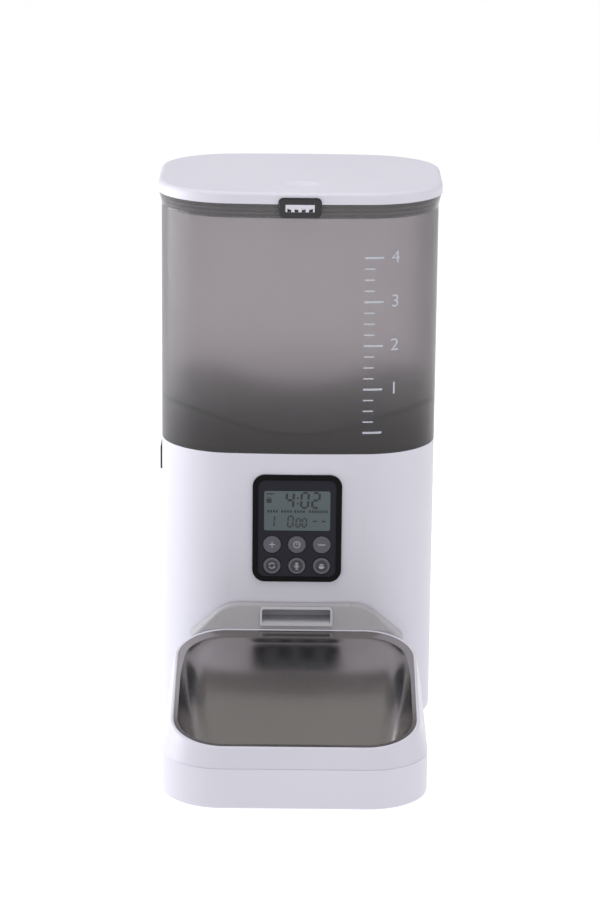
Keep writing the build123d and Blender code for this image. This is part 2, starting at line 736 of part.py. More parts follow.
with BuildPart() as pan_screws:
    downward_screws(column_spots, deck_top, DECK_THICKNESS + SCREW_BITE)
finish(pan_screws, "pan_screws")

# Portion wheel: a domed hub with vanes
rotor_bottom = deck_top + VANE_FLOOR_GAP
vane_top = pan_top - VANE_HEADROOM
dome_radius = (HUB_RADIUS**2 + HUB_DOME**2) / (2 * HUB_DOME)
with BuildPart() as rotor:
    with BuildSketch(body_plane(rotor_bottom)):
        Circle(HUB_RADIUS)
        with PolarLocations(0, VANE_COUNT, start_angle=180 / VANE_COUNT):
            with Locations(((THROAT_RADIUS - VANE_TIP_GAP) / 2, 0)):
                Rectangle(THROAT_RADIUS - VANE_TIP_GAP, VANE_THICKNESS)
    extrude(amount=vane_top - rotor_bottom)
    with BuildSketch(Plane(origin=(0, body_y, vane_top), x_dir=(1, 0, 0), z_dir=(0, -1, 0))):
        with BuildLine():
            Line((0, 0), (HUB_RADIUS, 0))
            RadiusArc((HUB_RADIUS, 0), (0, HUB_DOME), -dome_radius)
            Line((0, HUB_DOME), (0, 0))
        make_face()
    revolve(axis=Axis((0, body_y, 0), (0, 0, 1)))
    with BuildSketch(body_plane(rotor_bottom)):
        RegularPolygon(DRIVE_HEX / 2 + PIN_GAP, 6, major_radius=False)
    extrude(amount=DRIVE_LENGTH, mode=Mode.SUBTRACT)
finish(rotor, "rotor")

shield_bottom = vane_top + SHIELD_GAP
with BuildPart() as outlet_shield:
    with BuildSketch(body_plane(shield_bottom)):
        Circle(THROAT_RADIUS - FIT_GAP)
        Circle(HUB_RADIUS + SHIELD_GAP, mode=Mode.SUBTRACT)
        with Locations((0, -THROAT_RADIUS / 2)):
            Rectangle(MOUTH_WIDTH + 2 * SHIELD_LAP, THROAT_RADIUS, mode=Mode.INTERSECT)
    extrude(amount=SHIELD_THICKNESS)
finish(outlet_shield, "outlet_shield")


# Gears with involute flanks, each flank an arc through three of its points
def gear_outline(teeth, turn):
    pitch_radius = GEAR_MODULE * teeth / 2
    base_radius = pitch_radius * cos(radians(PRESSURE_ANGLE))
    tip_radius = pitch_radius + ADDENDUM * GEAR_MODULE
    root_radius = pitch_radius - DEDENDUM * GEAR_MODULE
    start_radius = max(base_radius, root_radius)
    half_tooth = pi / (2 * teeth) - BACKLASH / (2 * pitch_radius)
    pitch_roll = tan(radians(PRESSURE_ANGLE)) - radians(PRESSURE_ANGLE)

    def flank_angle(radius):
        pressure = acos(base_radius / radius)
        return half_tooth + pitch_roll - tan(pressure) + pressure

    def point(radius, angle):
        return (radius * cos(angle), radius * sin(angle))

    middle_radius = (start_radius + tip_radius) / 2
    foot = flank_angle(start_radius)
    crest = flank_angle(tip_radius)
    pitch_step = 2 * pi / teeth
    for i in range(teeth):
        centre = radians(turn) + i * pitch_step
        for side in (-1, 1):
            if root_radius < base_radius:
                Line(point(root_radius, centre + side * foot), point(start_radius, centre + side * foot))
            ThreePointArc(
                point(start_radius, centre + side * foot),
                point(middle_radius, centre + side * flank_angle(middle_radius)),
                point(tip_radius, centre + side * crest),
            )
        ThreePointArc(
            point(tip_radius, centre - crest), point(tip_radius, centre), point(tip_radius, centre + crest)
        )
        gap_centre = centre + pitch_step / 2
        gap_half = pitch_step / 2 - foot
        ThreePointArc(
            point(root_radius, gap_centre - gap_half),
            point(root_radius, gap_centre),
            point(root_radius, gap_centre + gap_half),
        )


def gear_plane(spot, level):
    return Plane(origin=(spot[0], spot[1], level), x_dir=(1, 0, 0), z_dir=(0, 0, 1))


# A pinion shows a gap where its wheel shows a tooth
def gap_turn(bearing):
    return bearing + 180 - 180 / PINION_TEETH


with BuildPart() as output_gear:
    with BuildSketch(gear_plane(output_spot, output_gear_bottom)):
        with BuildLine():
            gear_outline(WHEEL_TEETH, IDLER_BEARING)
        make_face()
        RegularPolygon(DRIVE_HEX / 2 + PIN_GAP, 6, major_radius=False, mode=Mode.SUBTRACT)
    extrude(amount=GEAR_FACE)
finish(output_gear, "output_gear")

# Output shaft: a journal in the case, a hexagon through the gear, a round neck in the bush
# and a hexagon in the portion wheel
drive_top = rotor_bottom + DRIVE_LENGTH - FIT_GAP
neck_bottom = output_gear_top + FIT_GAP
neck_top = deck_top + VANE_FLOOR_GAP - FIT_GAP
with BuildPart() as output_shaft:
    with BuildSketch(gear_plane(output_spot, case_floor_top - JOURNAL_DEPTH / 2)):
        Circle(JOURNAL_RADIUS)
    extrude(amount=output_gear_bottom - case_floor_top + JOURNAL_DEPTH / 2)
    with BuildSketch(gear_plane(output_spot, output_gear_bottom)):
        RegularPolygon(DRIVE_HEX / 2, 6, major_radius=False)
    extrude(amount=drive_top - output_gear_bottom)
    with BuildSketch(gear_plane(output_spot, neck_bottom)):
        Circle(SHAFT_RADIUS)
    extrude(amount=neck_top - neck_bottom)
finish(output_shaft, "output_shaft")

with BuildPart() as shaft_bush:
    with BuildSketch(gear_plane(output_spot, cover_bottom)):
        Circle(SHAFT_RADIUS + PIN_GAP + BUSH_WALL)
    extrude(amount=deck_top - cover_bottom)
    with BuildSketch(gear_plane(output_spot, cover_bottom)):
        Circle(SHAFT_RADIUS + PIN_GAP)
    extrude(amount=deck_top - cover_bottom, mode=Mode.SUBTRACT)
finish(shaft_bush, "shaft_bush")

with BuildPart() as idler_gear:
    with BuildSketch(gear_plane(idler_spot, idler_wheel_bottom)):
        with BuildLine():
            gear_outline(WHEEL_TEETH, MOTOR_BEARING)
        make_face()
    extrude(amount=GEAR_FACE)
    with BuildSketch(gear_plane(idler_spot, idler_wheel_top)):
        with BuildLine():
            gear_outline(PINION_TEETH, gap_turn(IDLER_BEARING))
        make_face()
    extrude(amount=output_gear_top - idler_wheel_top)
    with BuildSketch(gear_plane(idler_spot, idler_wheel_bottom)):
        Circle(AXLE_RADIUS + PIN_GAP)
    extrude(amount=output_gear_top - idler_wheel_bottom, mode=Mode.SUBTRACT)
finish(idler_gear, "idler_gear")

axle_bottom = case_floor_top - AXLE_SEAT
axle_top = cover_bottom + AXLE_SEAT
with BuildPart() as idler_axle:
    with BuildSketch(gear_plane(idler_spot, axle_bottom)):
        Circle(AXLE_RADIUS)
    extrude(amount=axle_top - axle_bottom)
finish(idler_axle, "idler_axle")

motor_top = case_bottom
with BuildPart() as motor_pinion:
    with BuildSketch(gear_plane(motor_spot, idler_wheel_bottom)):
        with BuildLine():
            gear_outline(PINION_TEETH, gap_turn(MOTOR_BEARING))
        make_face()
        Circle(MOTOR_SHAFT_RADIUS + PIN_GAP, mode=Mode.SUBTRACT)
    extrude(amount=GEAR_FACE)
finish(motor_pinion, "motor_pinion")

with BuildPart() as motor_shaft:
    with BuildSketch(gear_plane(motor_spot, motor_top - MOTOR_SHAFT_SOCKET)):
        Circle(MOTOR_SHAFT_RADIUS)
    extrude(amount=idler_wheel_top - motor_top + MOTOR_SHAFT_SOCKET)
finish(motor_shaft, "motor_shaft")

motor_screw_spots = [
    (motor_spot[0] + side * MOTOR_SCREW_SPREAD * sin(radians(MOTOR_BEARING + 45)),
     motor_spot[1] - side * MOTOR_SCREW_SPREAD * cos(radians(MOTOR_BEARING + 45)))
    for side in (-1, 1)
]
with BuildPart() as motor:
    with BuildSketch(gear_plane(motor_spot, motor_top)):
        Circle(MOTOR_RADIUS)
    extrude(amount=-MOTOR_LENGTH)
    with BuildSketch(gear_plane(motor_spot, motor_top)):
        Circle(MOTOR_BOSS_RADIUS)
    extrude(amount=MOTOR_BOSS_HEIGHT)
    with BuildSketch(gear_plane(motor_spot, motor_top + MOTOR_BOSS_HEIGHT)):
        Circle(MOTOR_SHAFT_RADIUS + PIN_GAP)
    extrude(amount=-MOTOR_BOSS_HEIGHT - MOTOR_SHAFT_SOCKET - FIT_GAP, mode=Mode.SUBTRACT)
    screw_holes(motor_screw_spots, motor_top, SCREW_BITE / 2, DOWNWARD)
finish(motor, "motor")

with BuildPart() as motor_screws:
    downward_screws(motor_screw_spots, case_floor_top, CASE_FLOOR + SCREW_BITE / 2 - FIT_GAP)
finish(motor_screws, "motor_screws")

# Gearbox: a deep case below and a flat cover under the deck, held by three long screws
with BuildPart() as gearbox_case:
    with BuildSketch(Plane.XY.offset(case_bottom)):
        with Locations(output_spot, idler_spot):
            Circle(wheel_tip + GEAR_CLEARANCE + CASE_WALL)
        with Locations(motor_spot):
            Circle(pinion_tip + GEAR_CLEARANCE + CASE_WALL)
        with Locations(*ear_spots):
            Circle(EAR_RADIUS)
        make_hull()
    extrude(amount=cover_bottom - case_bottom)
    with BuildSketch(Plane.XY.offset(case_floor_top)):
        with Locations(output_spot, idler_spot):
            Circle(wheel_tip + GEAR_CLEARANCE)
        with Locations(motor_spot):
            Circle(MOTOR_SCREW_SPREAD + SCREW_HEAD_RADIUS + FIT_GAP)
    extrude(amount=cover_bottom - case_floor_top, mode=Mode.SUBTRACT)
    with Locations((*output_spot, case_floor_top)):
        Cylinder(JOURNAL_RADIUS + PIN_GAP, JOURNAL_DEPTH / 2, align=DOWNWARD, mode=Mode.SUBTRACT)
    with Locations((*idler_spot, case_floor_top)):
        Cylinder(AXLE_RADIUS + PIN_GAP, AXLE_SEAT, align=DOWNWARD, mode=Mode.SUBTRACT)
    with Locations((*motor_spot, case_bottom)):
        Cylinder(MOTOR_BOSS_RADIUS + FIT_GAP, CASE_FLOOR, align=UPWARD, mode=Mode.SUBTRACT)
    screw_holes(motor_screw_spots, case_bottom, CASE_FLOOR)
    screw_holes(ear_spots, case_bottom, cover_bottom - case_bottom)
finish(gearbox_case, "gearbox_case")

with BuildPart() as gearbox_cover:
    with BuildSketch(Plane.XY.offset(cover_bottom)):
        with Locations(output_spot, idler_spot):
            Circle(wheel_tip + GEAR_CLEARANCE + CASE_WALL)
        with Locations(motor_spot):
            Circle(pinion_tip + GEAR_CLEARANCE + CASE_WALL)
        with Locations(*ear_spots):
            Circle(EAR_RADIUS)
        make_hull()
    extrude(amount=COVER_PLATE)
    with Locations((*output_spot, cover_bottom)):
        Cylinder(
            SHAFT_RADIUS + PIN_GAP + BUSH_WALL + PIN_GAP, COVER_PLATE, align=UPWARD, mode=Mode.SUBTRACT
        )
    with Locations((*idler_spot, cover_bottom)):
        Cylinder(AXLE_RADIUS + PIN_GAP, AXLE_SEAT, align=UPWARD, mode=Mode.SUBTRACT)
    screw_holes(ear_spots, cover_bottom, COVER_PLATE)
finish(gearbox_cover, "gearbox_cover")

with BuildPart() as gearbox_screws:
    upward_screws(ear_spots, case_bottom - SCREW_HEAD, deck_top - case_bottom)
finish(gearbox_screws, "gearbox_screws")


# Food chute, a bent rectangular duct from the pan to the mouth
def beyond(inner, end, reach):
    """The point that carries the line from inner to end on by reach."""
    run = (end[0] - inner[0], end[1] - inner[1])
    length = sqrt(run[0] ** 2 + run[1] ** 2)
    return (end[0] + run[0] / length * reach, end[1] + run[1] / length * reach)


open_channel = list(channel)
open_channel[0] = beyond(channel[1], channel[0], 3 * CHUTE_WALL)
open_channel[-1] = beyond(channel[-2], channel[-1], 3 * CHUTE_WALL)
open_channel[3] = (shaft_back, shaft_top + 3 * CHUTE_WALL)
open_channel[4] = (shaft_front, shaft_top + 3 * CHUTE_WALL)
with BuildPart() as chute:
    with BuildSketch(Plane.YZ):
        with BuildLine():
            Polyline(*channel, close=True)
        make_face()
        offset(amount=CHUTE_WALL, kind=Kind.INTERSECTION)
    extrude(amount=chute_half, both=True)
    with BuildSketch(Plane.YZ):
        with BuildLine():
            Polyline(*open_channel, close=True)
        make_face()
    extrude(amount=MOUTH_WIDTH / 2, both=True, mode=Mode.SUBTRACT)
    mouth_edges = chute.edges().filter_by(Axis.Y)
    fillet(mouth_edges.filter_by_position(Axis.Z, mouth_skin - FIT_GAP, mouth_skin + FIT_GAP), mouth_round)
    fillet(mouth_edges.filter_by_position(Axis.Z, MOUTH_TOP - FIT_GAP, MOUTH_TOP + FIT_GAP), MOUTH_ROUND)
finish(chute, "chute")

# Outlet hood: a grey shell on the housing's front, around the mouth of the chute
hood_keep_out = body_column(-FIT_GAP, housing_bottom, housing_top)


def hood_form(shrink):
    """The hood's outer form, or its inside when shrunk by a wall."""
    half = HOOD_WIDTH / 2 - shrink
    top_half = HOOD_TOP_WIDTH / 2 - shrink
    with BuildPart() as form:
        with BuildSketch(Plane.YZ):
            with BuildLine():
                Polyline(
                    (body_y, HOOD_BOTTOM),
                    (hood_front + shrink, HOOD_BOTTOM),
                    (hood_front + shrink, HOOD_LIP - shrink / 2),
                    (hood_face(HOOD_TOP) + shrink, HOOD_TOP - shrink),
                    (body_y, HOOD_TOP - shrink),
                    close=True,
                )
            make_face()
        extrude(amount=half, both=True)
        with BuildSketch(front_plane(body_y)) as outline:
            with BuildLine():
                Polyline(
                    (-half, HOOD_BOTTOM),
                    (half, HOOD_BOTTOM),
                    (half, HOOD_SHOULDER - shrink),
                    (top_half, HOOD_TOP - shrink),
                    (-top_half, HOOD_TOP - shrink),
                    (-half, HOOD_SHOULDER - shrink),
                    close=True,
                )
            make_face()
            fillet(outline.vertices().group_by(Axis.Y)[1], HOOD_SHOULDER_ROUND)
            fillet(outline.vertices().group_by(Axis.Y)[-1], HOOD_ROUND)
        extrude(amount=BODY_DEPTH, mode=Mode.INTERSECT)
    return form.part


hood_skin = hood_form(0)
hood_hollow = hood_form(HOOD_WALL)
with BuildPart() as outlet_hood:
    add(hood_skin)
    level_edges = outlet_hood.edges().filter_by(Axis.X)
    fillet(level_edges.filter_by_position(Axis.Z, HOOD_LIP - FIT_GAP, HOOD_LIP + FIT_GAP), HOOD_LIP_ROUND)
    rim = outlet_hood.edges().filter_by_position(Axis.Y, hood_front - FIT_GAP, hood_face(HOOD_TOP) + FIT_GAP)
    rim = rim.filter_by_position(Axis.Z, HOOD_BOTTOM + FIT_GAP, HOOD_TOP + FIT_GAP)
    lip_seams = rim.filter_by(Axis.X).filter_by_position(Axis.Z, HOOD_BOTTOM, HOOD_TOP - HOOD_EDGE)
    fillet(rim - lip_seams, HOOD_EDGE)
    add(hood_keep_out, mode=Mode.SUBTRACT)
    add(hood_hollow, mode=Mode.SUBTRACT)
    with BuildSketch(front_plane(body_front + WALL)) as cut_out:
        with Locations((0, (MOUTH_BOTTOM + MOUTH_TOP) / 2)):
            Rectangle(2 * (chute_half + FIT_GAP), MOUTH_TOP - MOUTH_BOTTOM + 2 * (CHUTE_WALL + FIT_GAP))
        fillet(cut_out.vertices().group_by(Axis.Y)[-1], mouth_round + FIT_GAP)
    extrude(amount=HOOD_LIP_DEPTH + 2 * WALL, mode=Mode.SUBTRACT)
finish(outlet_hood, "outlet_hood")

# Control panel
with BuildPart() as panel_bezel:
    with BuildSketch(front_plane(bezel_back, panel_level)):
        RectangleRounded(PANEL_WIDTH, PANEL_HEIGHT, PANEL_RADIUS)
    extrude(amount=bezel_back - panel_face)
    fillet(panel_bezel.faces().sort_by(Axis.Y)[0].edges(), OVERLAY_RECESS)
    with BuildSketch(front_plane(bezel_back, panel_level)):
        RectangleRounded(
            PANEL_WIDTH + 2 * PANEL_FLANGE, PANEL_HEIGHT + 2 * PANEL_FLANGE, PANEL_RADIUS + PANEL_FLANGE
        )
    extrude(amount=PANEL_FLANGE_THICKNESS)
    with BuildSketch(front_plane(overlay_back, panel_level)):
        RectangleRounded(overlay_width, overlay_height, overlay_radius)
    extrude(amount=overlay_back - panel_face, mode=Mode.SUBTRACT)
    with BuildSketch(front_plane(bezel_back, panel_level)):
        RectangleRounded(
            overlay_width - 2 * BEZEL_LEDGE, overlay_height - 2 * BEZEL_LEDGE, overlay_radius - BEZEL_LEDGE
        )
    extrude(amount=bezel_back - panel_face, mode=Mode.SUBTRACT)
    with BuildSketch(front_plane(board_face, panel_level)):
        with Locations(*post_spots):
            Circle(POST_RADIUS)
    extrude(amount=board_face - bezel_back + PANEL_FLANGE_THICKNESS)
    with BuildSketch(front_plane(board_face, panel_level)):
        with Locations(*post_spots):
            Circle(SCREW_RADIUS + FIT_GAP)
    extrude(amount=board_face - bezel_back + FIT_GAP, mode=Mode.SUBTRACT)
finish(panel_bezel, "panel_bezel")

with BuildPart() as panel_overlay:
    with BuildSketch(front_plane(overlay_back, panel_level)):
        RectangleRounded(overlay_width - 2 * FIT_GAP, overlay_height - 2 * FIT_GAP, overlay_radius - FIT_GAP)
        with Locations((0, LCD_RISE)):
            RectangleRounded(
                LCD_WIDTH + 2 * FIT_GAP, LCD_HEIGHT + 2 * FIT_GAP, LCD_RADIUS + FIT_GAP, mode=Mode.SUBTRACT
            )
        with Locations(*[(x, z - KEY_DROP) for x, z in key_spots.values()]):
            Circle(KEY_RADIUS + RUN_GAP, mode=Mode.SUBTRACT)
    extrude(amount=OVERLAY_THICKNESS)
finish(panel_overlay, "panel_overlay")

with BuildPart() as lcd_window:
    with BuildSketch(front_plane(overlay_back, lcd_level)):
        RectangleRounded(LCD_WIDTH, LCD_HEIGHT, LCD_RADIUS)
    extrude(amount=OVERLAY_THICKNESS - FIT_GAP)
finish(lcd_window, "lcd_window")

with BuildPart() as lcd_module:
    with BuildSketch(front_plane(board_face, lcd_level)):
        Rectangle(LCD_WIDTH + 2 * LCD_BORDER, LCD_HEIGHT + 2 * LCD_BORDER)
    extrude(amount=board_face - overlay_back - FIT_GAP)
finish(lcd_module, "lcd_module")

for name, (x, z) in key_spots.items():
    with BuildPart() as key:
        with BuildSketch(front_plane(key_flange_face, key_level + z)):
            with Locations((x, 0)):
                Circle(KEY_RADIUS)
        extrude(amount=key_flange_face - overlay_face + KEY_PROUD)
        fillet(key.faces().sort_by(Axis.Y)[0].edges(), KEY_ROUND)
        with BuildSketch(front_plane(key_flange_face, key_level + z)):
            with Locations((x, 0)):
                Circle(KEY_RADIUS + KEY_FLANGE)
        extrude(amount=-KEY_FLANGE_THICKNESS)
        with BuildSketch(front_plane(key_flange_face + KEY_FLANGE_THICKNESS, key_level + z)):
            with Locations((x, 0)):
                Circle(KEY_STEM_RADIUS)
        extrude(amount=-KEY_STEM)
    finish(key, f"button_{name}")

with BuildPart() as tact_switches:
    with BuildSketch(front_plane(board_face, key_level)):
        with Locations(*key_spots.values()):
            Rectangle(SWITCH_SIZE, SWITCH_SIZE)
    extrude(amount=SWITCH_HEIGHT)
finish(tact_switches, "tact_switches")

with BuildPart() as main_board:
    with BuildSketch(front_plane(board_back, panel_level)):
        Rectangle(board_width, board_height)
        with Locations(*post_spots):
            Circle(SCREW_RADIUS + FIT_GAP, mode=Mode.SUBTRACT)
    extrude(amount=BOARD_THICKNESS)
finish(main_board, "main_board")

with BuildPart() as board_screws:
    with BuildSketch(front_plane(board_back, panel_level)):
        with Locations(*post_spots):
            Circle(SCREW_HEAD_RADIUS)
    extrude(amount=-SCREW_HEAD)
    with BuildSketch(front_plane(board_back, panel_level)):
        with Locations(*post_spots):
            Circle(SCREW_RADIUS)
    extrude(amount=board_back - bezel_back)
finish(board_screws, "board_screws")

with BuildPart() as microphone:
    with BuildSketch(front_plane(board_face, key_level)):
        with Locations((KEY_PITCH_X / 2, 0)):
            Circle(MICROPHONE_RADIUS)
    extrude(amount=MICROPHONE_HEIGHT)
finish(microphone, "microphone")

# Tank: a smoked shell with a flared rim, a funnel floor and a spigot that drops into the housing
funnel_rise = tan(radians(FUNNEL_SLOPE))
cone_bottom = spigot_bottom + NECK_HEIGHT
cone_reach = BODY_WIDTH
cone_top = cone_bottom + (cone_reach - THROAT_RADIUS) * funnel_rise
outer_throat = THROAT_RADIUS + FUNNEL_WALL
cone_drop = FUNNEL_WALL / cos(radians(FUNNEL_SLOPE))
spigot_inset = WALL + RUN_GAP
inner_seam = tank_bottom + WALL
throat_axis = Axis((0, body_y, 0), (0, 0, 1))
section_plane = Plane(origin=(0, body_y, 0), x_dir=(1, 0, 0), z_dir=(0, -1, 0))
inside_column = body_column(WALL, spigot_bottom - WALL, tank_top + WALL)
under_column = body_column(WALL, inner_seam, cone_top)
spigot_column = body_column(spigot_inset + SPIGOT_WALL, spigot_bottom - WALL, inner_seam)

with BuildPart() as food_space:
    with BuildSketch(section_plane):
        with BuildLine():
            Polyline(
                (0, spigot_bottom - WALL),
                (THROAT_RADIUS, spigot_bottom - WALL),
                (THROAT_RADIUS, cone_bottom),
                (cone_reach, cone_top),
                (cone_reach, max(cone_top, tank_top) + WALL),
                (0, max(cone_top, tank_top) + WALL),
                close=True,
            )
        make_face()
    revolve(axis=throat_axis)
    add(inside_column, mode=Mode.INTERSECT)

with BuildPart() as under_space:
    with BuildSketch(section_plane):
        with BuildLine():
            Polyline(
                (outer_throat, spigot_bottom - WALL),
                (outer_throat, cone_bottom + FUNNEL_WALL * funnel_rise - cone_drop),
                (cone_reach, cone_top - cone_drop),
                (cone_reach, spigot_bottom - WALL),
                close=True,
            )
        make_face()
    revolve(axis=throat_axis)
    add([under_column, spigot_column], mode=Mode.INTERSECT)

latch_room = LATCH_WIDTH / 2 + FIT_GAP
ear_inner = KNUCKLE_WIDTH / 2 + RUN_GAP
tank_column = body_column(0, tank_bottom, tank_top)
spigot_skin = body_column(spigot_inset, spigot_bottom, tank_bottom)
with BuildPart() as tank:
    add(tank_column)
    add(spigot_skin)
    with BuildSketch(body_plane(tank_top)):
        with BuildLine():
            body_outline(-TANK_FLANGE)
        make_face()
    extrude(amount=-FLANGE_HEIGHT, taper=degrees(atan2(TANK_FLANGE, FLANGE_HEIGHT)))
    for side in (-1, 1):
        with BuildSketch(Plane.YZ.offset(side * ear_inner)):
            with Locations((hinge_y, hinge_z)):
                Circle(HINGE_RADIUS)
            with BuildLine():
                Polyline(
                    (body_back - WALL / 2, tank_top - SEAM_GAP),
                    (hinge_y, tank_top - SEAM_GAP),
                    (hinge_y, hinge_z - HINGE_RADIUS),
                    (body_back - WALL / 2, hinge_z - HINGE_RADIUS - EAR_ROOT),
                    close=True,
                )
            make_face()
        extrude(amount=side * EAR_WIDTH)
    add(food_space.part, mode=Mode.SUBTRACT)
    add(under_space.part, mode=Mode.SUBTRACT)
    block(
        (-latch_room, latch_face, latch_bottom - FIT_GAP),
        (latch_room, body_front, tank_top),
        Mode.SUBTRACT,
    )
    with Locations((0, hinge_y, hinge_z)):
        Cylinder(
            HINGE_PIN_RADIUS + PIN_GAP, 2 * (ear_inner + EAR_WIDTH), rotation=(0, 90, 0), mode=Mode.SUBTRACT
        )
finish(tank, "tank")

# Lid: a shallow cap with a plug that carries the seal
plug_inset = WALL + SEAL_GAP + SEAL_FIN_REACH + SEAL_SLEEVE
plug_bottom = lid_bottom - PLUG_DEPTH
plate_bottom = lid_top - LID_PLATE
dimple_radius = (DIMPLE_WIDTH**2 / 4 + DIMPLE_DEPTH**2) / (2 * DIMPLE_DEPTH)
dimple_y = body_front - LID_OVERHANG + DIMPLE_SETBACK
lid_skin = body_column(-LID_OVERHANG, lid_bottom, lid_top)
lid_hollow = body_column(LID_WALL - LID_OVERHANG, lid_bottom, plate_bottom)
plug_skin = body_column(plug_inset, plug_bottom, plate_bottom)
plug_hollow = body_column(plug_inset + PLUG_WALL, plug_bottom, plate_bottom)
with BuildPart() as lid:
    add(lid_skin)
    fillet(lid.faces().sort_by(Axis.Z)[-1].edges(), LID_ROUND)
    add(lid_hollow, mode=Mode.SUBTRACT)
    add(plug_skin)
    add(plug_hollow, mode=Mode.SUBTRACT)
    with Locations((0, dimple_y, lid_top - DIMPLE_DEPTH + dimple_radius)):
        Sphere(dimple_radius, mode=Mode.SUBTRACT)
    with BuildSketch(front_plane(body_front + WALL, latch_level)):
        RectangleRounded(LATCH_WIDTH + 2 * RUN_GAP, LATCH_HEIGHT + 2 * RUN_GAP, LATCH_ROUND + RUN_GAP)
    extrude(amount=WALL + 2 * LID_OVERHANG, mode=Mode.SUBTRACT)
    with BuildSketch(Plane.YZ.offset(-KNUCKLE_WIDTH / 2)):
        with Locations((hinge_y, hinge_z)):
            Circle(HINGE_RADIUS)
        with BuildLine():
            Polyline(
                (hinge_y + HINGE_RADIUS, hinge_z),
                (hinge_y + HINGE_RADIUS, lid_bottom),
                (lid_back - LID_WALL / 2, plate_bottom),
                (lid_back - LID_WALL / 2, lid_bottom),
                (hinge_y - HINGE_RADIUS, lid_bottom),
                (hinge_y - HINGE_RADIUS, hinge_z),
                close=True,
            )
        make_face()
    extrude(amount=KNUCKLE_WIDTH)
    with Locations((0, hinge_y, hinge_z)):
        Cylinder(HINGE_PIN_RADIUS + PIN_GAP, KNUCKLE_WIDTH, rotation=(0, 90, 0), mode=Mode.SUBTRACT)
finish(lid, "lid")

with BuildPart() as hinge_pin:
    with Locations((0, hinge_y, hinge_z)):
        Cylinder(HINGE_PIN_RADIUS, 2 * (ear_inner + EAR_WIDTH), rotation=(0, 90, 0))
finish(hinge_pin, "hinge_pin")

seal_height = tank_top - plug_bottom
fin_pitch = (seal_height - SEAL_FIN_HEIGHT) / (SEAL_FIN_COUNT - 1)
sleeve_skin = body_column(plug_inset - SEAL_SLEEVE, plug_bottom, tank_top)
sleeve_hollow = body_column(plug_inset - PIN_GAP, plug_bottom, tank_top)
fins = []
for i in range(SEAL_FIN_COUNT):
    fin_bottom = plug_bottom + i * fin_pitch
    fins.append(body_column(WALL + SEAL_GAP, fin_bottom, fin_bottom + SEAL_FIN_HEIGHT))
with BuildPart() as lid_seal:
    add(sleeve_skin)
    add(fins)
    add(sleeve_hollow, mode=Mode.SUBTRACT)
finish(lid_seal, "lid_seal")

# Latch: a dark frame on the tank's rim, with a sprung comb-faced button in it
with BuildPart() as latch_frame:
    with BuildSketch(front_plane(latch_back, latch_level)):
        RectangleRounded(LATCH_WIDTH, LATCH_HEIGHT, LATCH_ROUND)
    extrude(amount=LATCH_DEPTH)
    fillet(latch_frame.faces().sort_by(Axis.Y)[0].edges(), LATCH_FACE / 3)
    with BuildSketch(front_plane(latch_back, latch_level)):
        Rectangle(COMB_WIDTH + 2 * RUN_GAP, COMB_HEIGHT + 2 * RUN_GAP)
    extrude(amount=LATCH_DEPTH, mode=Mode.SUBTRACT)
    with BuildSketch(front_plane(latch_back, latch_level)):
        Rectangle(COMB_WIDTH + 2 * (COMB_LIP + RUN_GAP), COMB_HEIGHT + 2 * (COMB_LIP + RUN_GAP))
    extrude(amount=LATCH_DEPTH - LATCH_FACE, mode=Mode.SUBTRACT)
finish(latch_frame, "latch_frame")

comb_slot_z = latch_level - COMB_HEIGHT / 2 + COMB_SLOT_HEIGHT / 2
comb_pitch = COMB_WIDTH / COMB_SLOTS
comb_back = comb_lip_face + COMB_LIP_THICKNESS
with BuildPart() as latch_button:
    with BuildSketch(front_plane(comb_back, latch_level)):
        Rectangle(COMB_WIDTH, COMB_HEIGHT)
    extrude(amount=comb_back - latch_face - FIT_GAP)
    with BuildSketch(front_plane(comb_back, latch_level)):
        Rectangle(COMB_WIDTH + 2 * COMB_LIP, COMB_HEIGHT + 2 * COMB_LIP)
    extrude(amount=COMB_LIP_THICKNESS)
    with BuildSketch(front_plane(latch_face + FIT_GAP, comb_slot_z)):
        with GridLocations(comb_pitch, 1, COMB_SLOTS, 1):
            Rectangle(COMB_SLOT_WIDTH, COMB_SLOT_HEIGHT)
    extrude(amount=-LATCH_DEPTH, mode=Mode.SUBTRACT)
finish(latch_button, "latch_button")

# Leaf springs: an arched strip behind each sprung button
latch_leaf_bow = latch_back - comb_back - LEAF_THICKNESS - 2 * FIT_GAP
with BuildPart() as latch_spring:
    with BuildSketch(Plane.XY.offset(latch_level - LEAF_WIDTH / 2)):
        with BuildLine():
            leaf_back = latch_back - FIT_GAP
            ThreePointArc(
                (-COMB_WIDTH / 2, leaf_back),
                (0, leaf_back - latch_leaf_bow),
                (COMB_WIDTH / 2, leaf_back),
            )
            Line((COMB_WIDTH / 2, leaf_back), (COMB_WIDTH / 2, leaf_back - LEAF_THICKNESS))
            ThreePointArc(
                (COMB_WIDTH / 2, leaf_back - LEAF_THICKNESS),
                (0, leaf_back - LEAF_THICKNESS - latch_leaf_bow),
                (-COMB_WIDTH / 2, leaf_back - LEAF_THICKNESS),
            )
            Line((-COMB_WIDTH / 2, leaf_back - LEAF_THICKNESS), (-COMB_WIDTH / 2, leaf_back))
        make_face()
    extrude(amount=LEAF_WIDTH)
finish(latch_spring, "latch_spring")

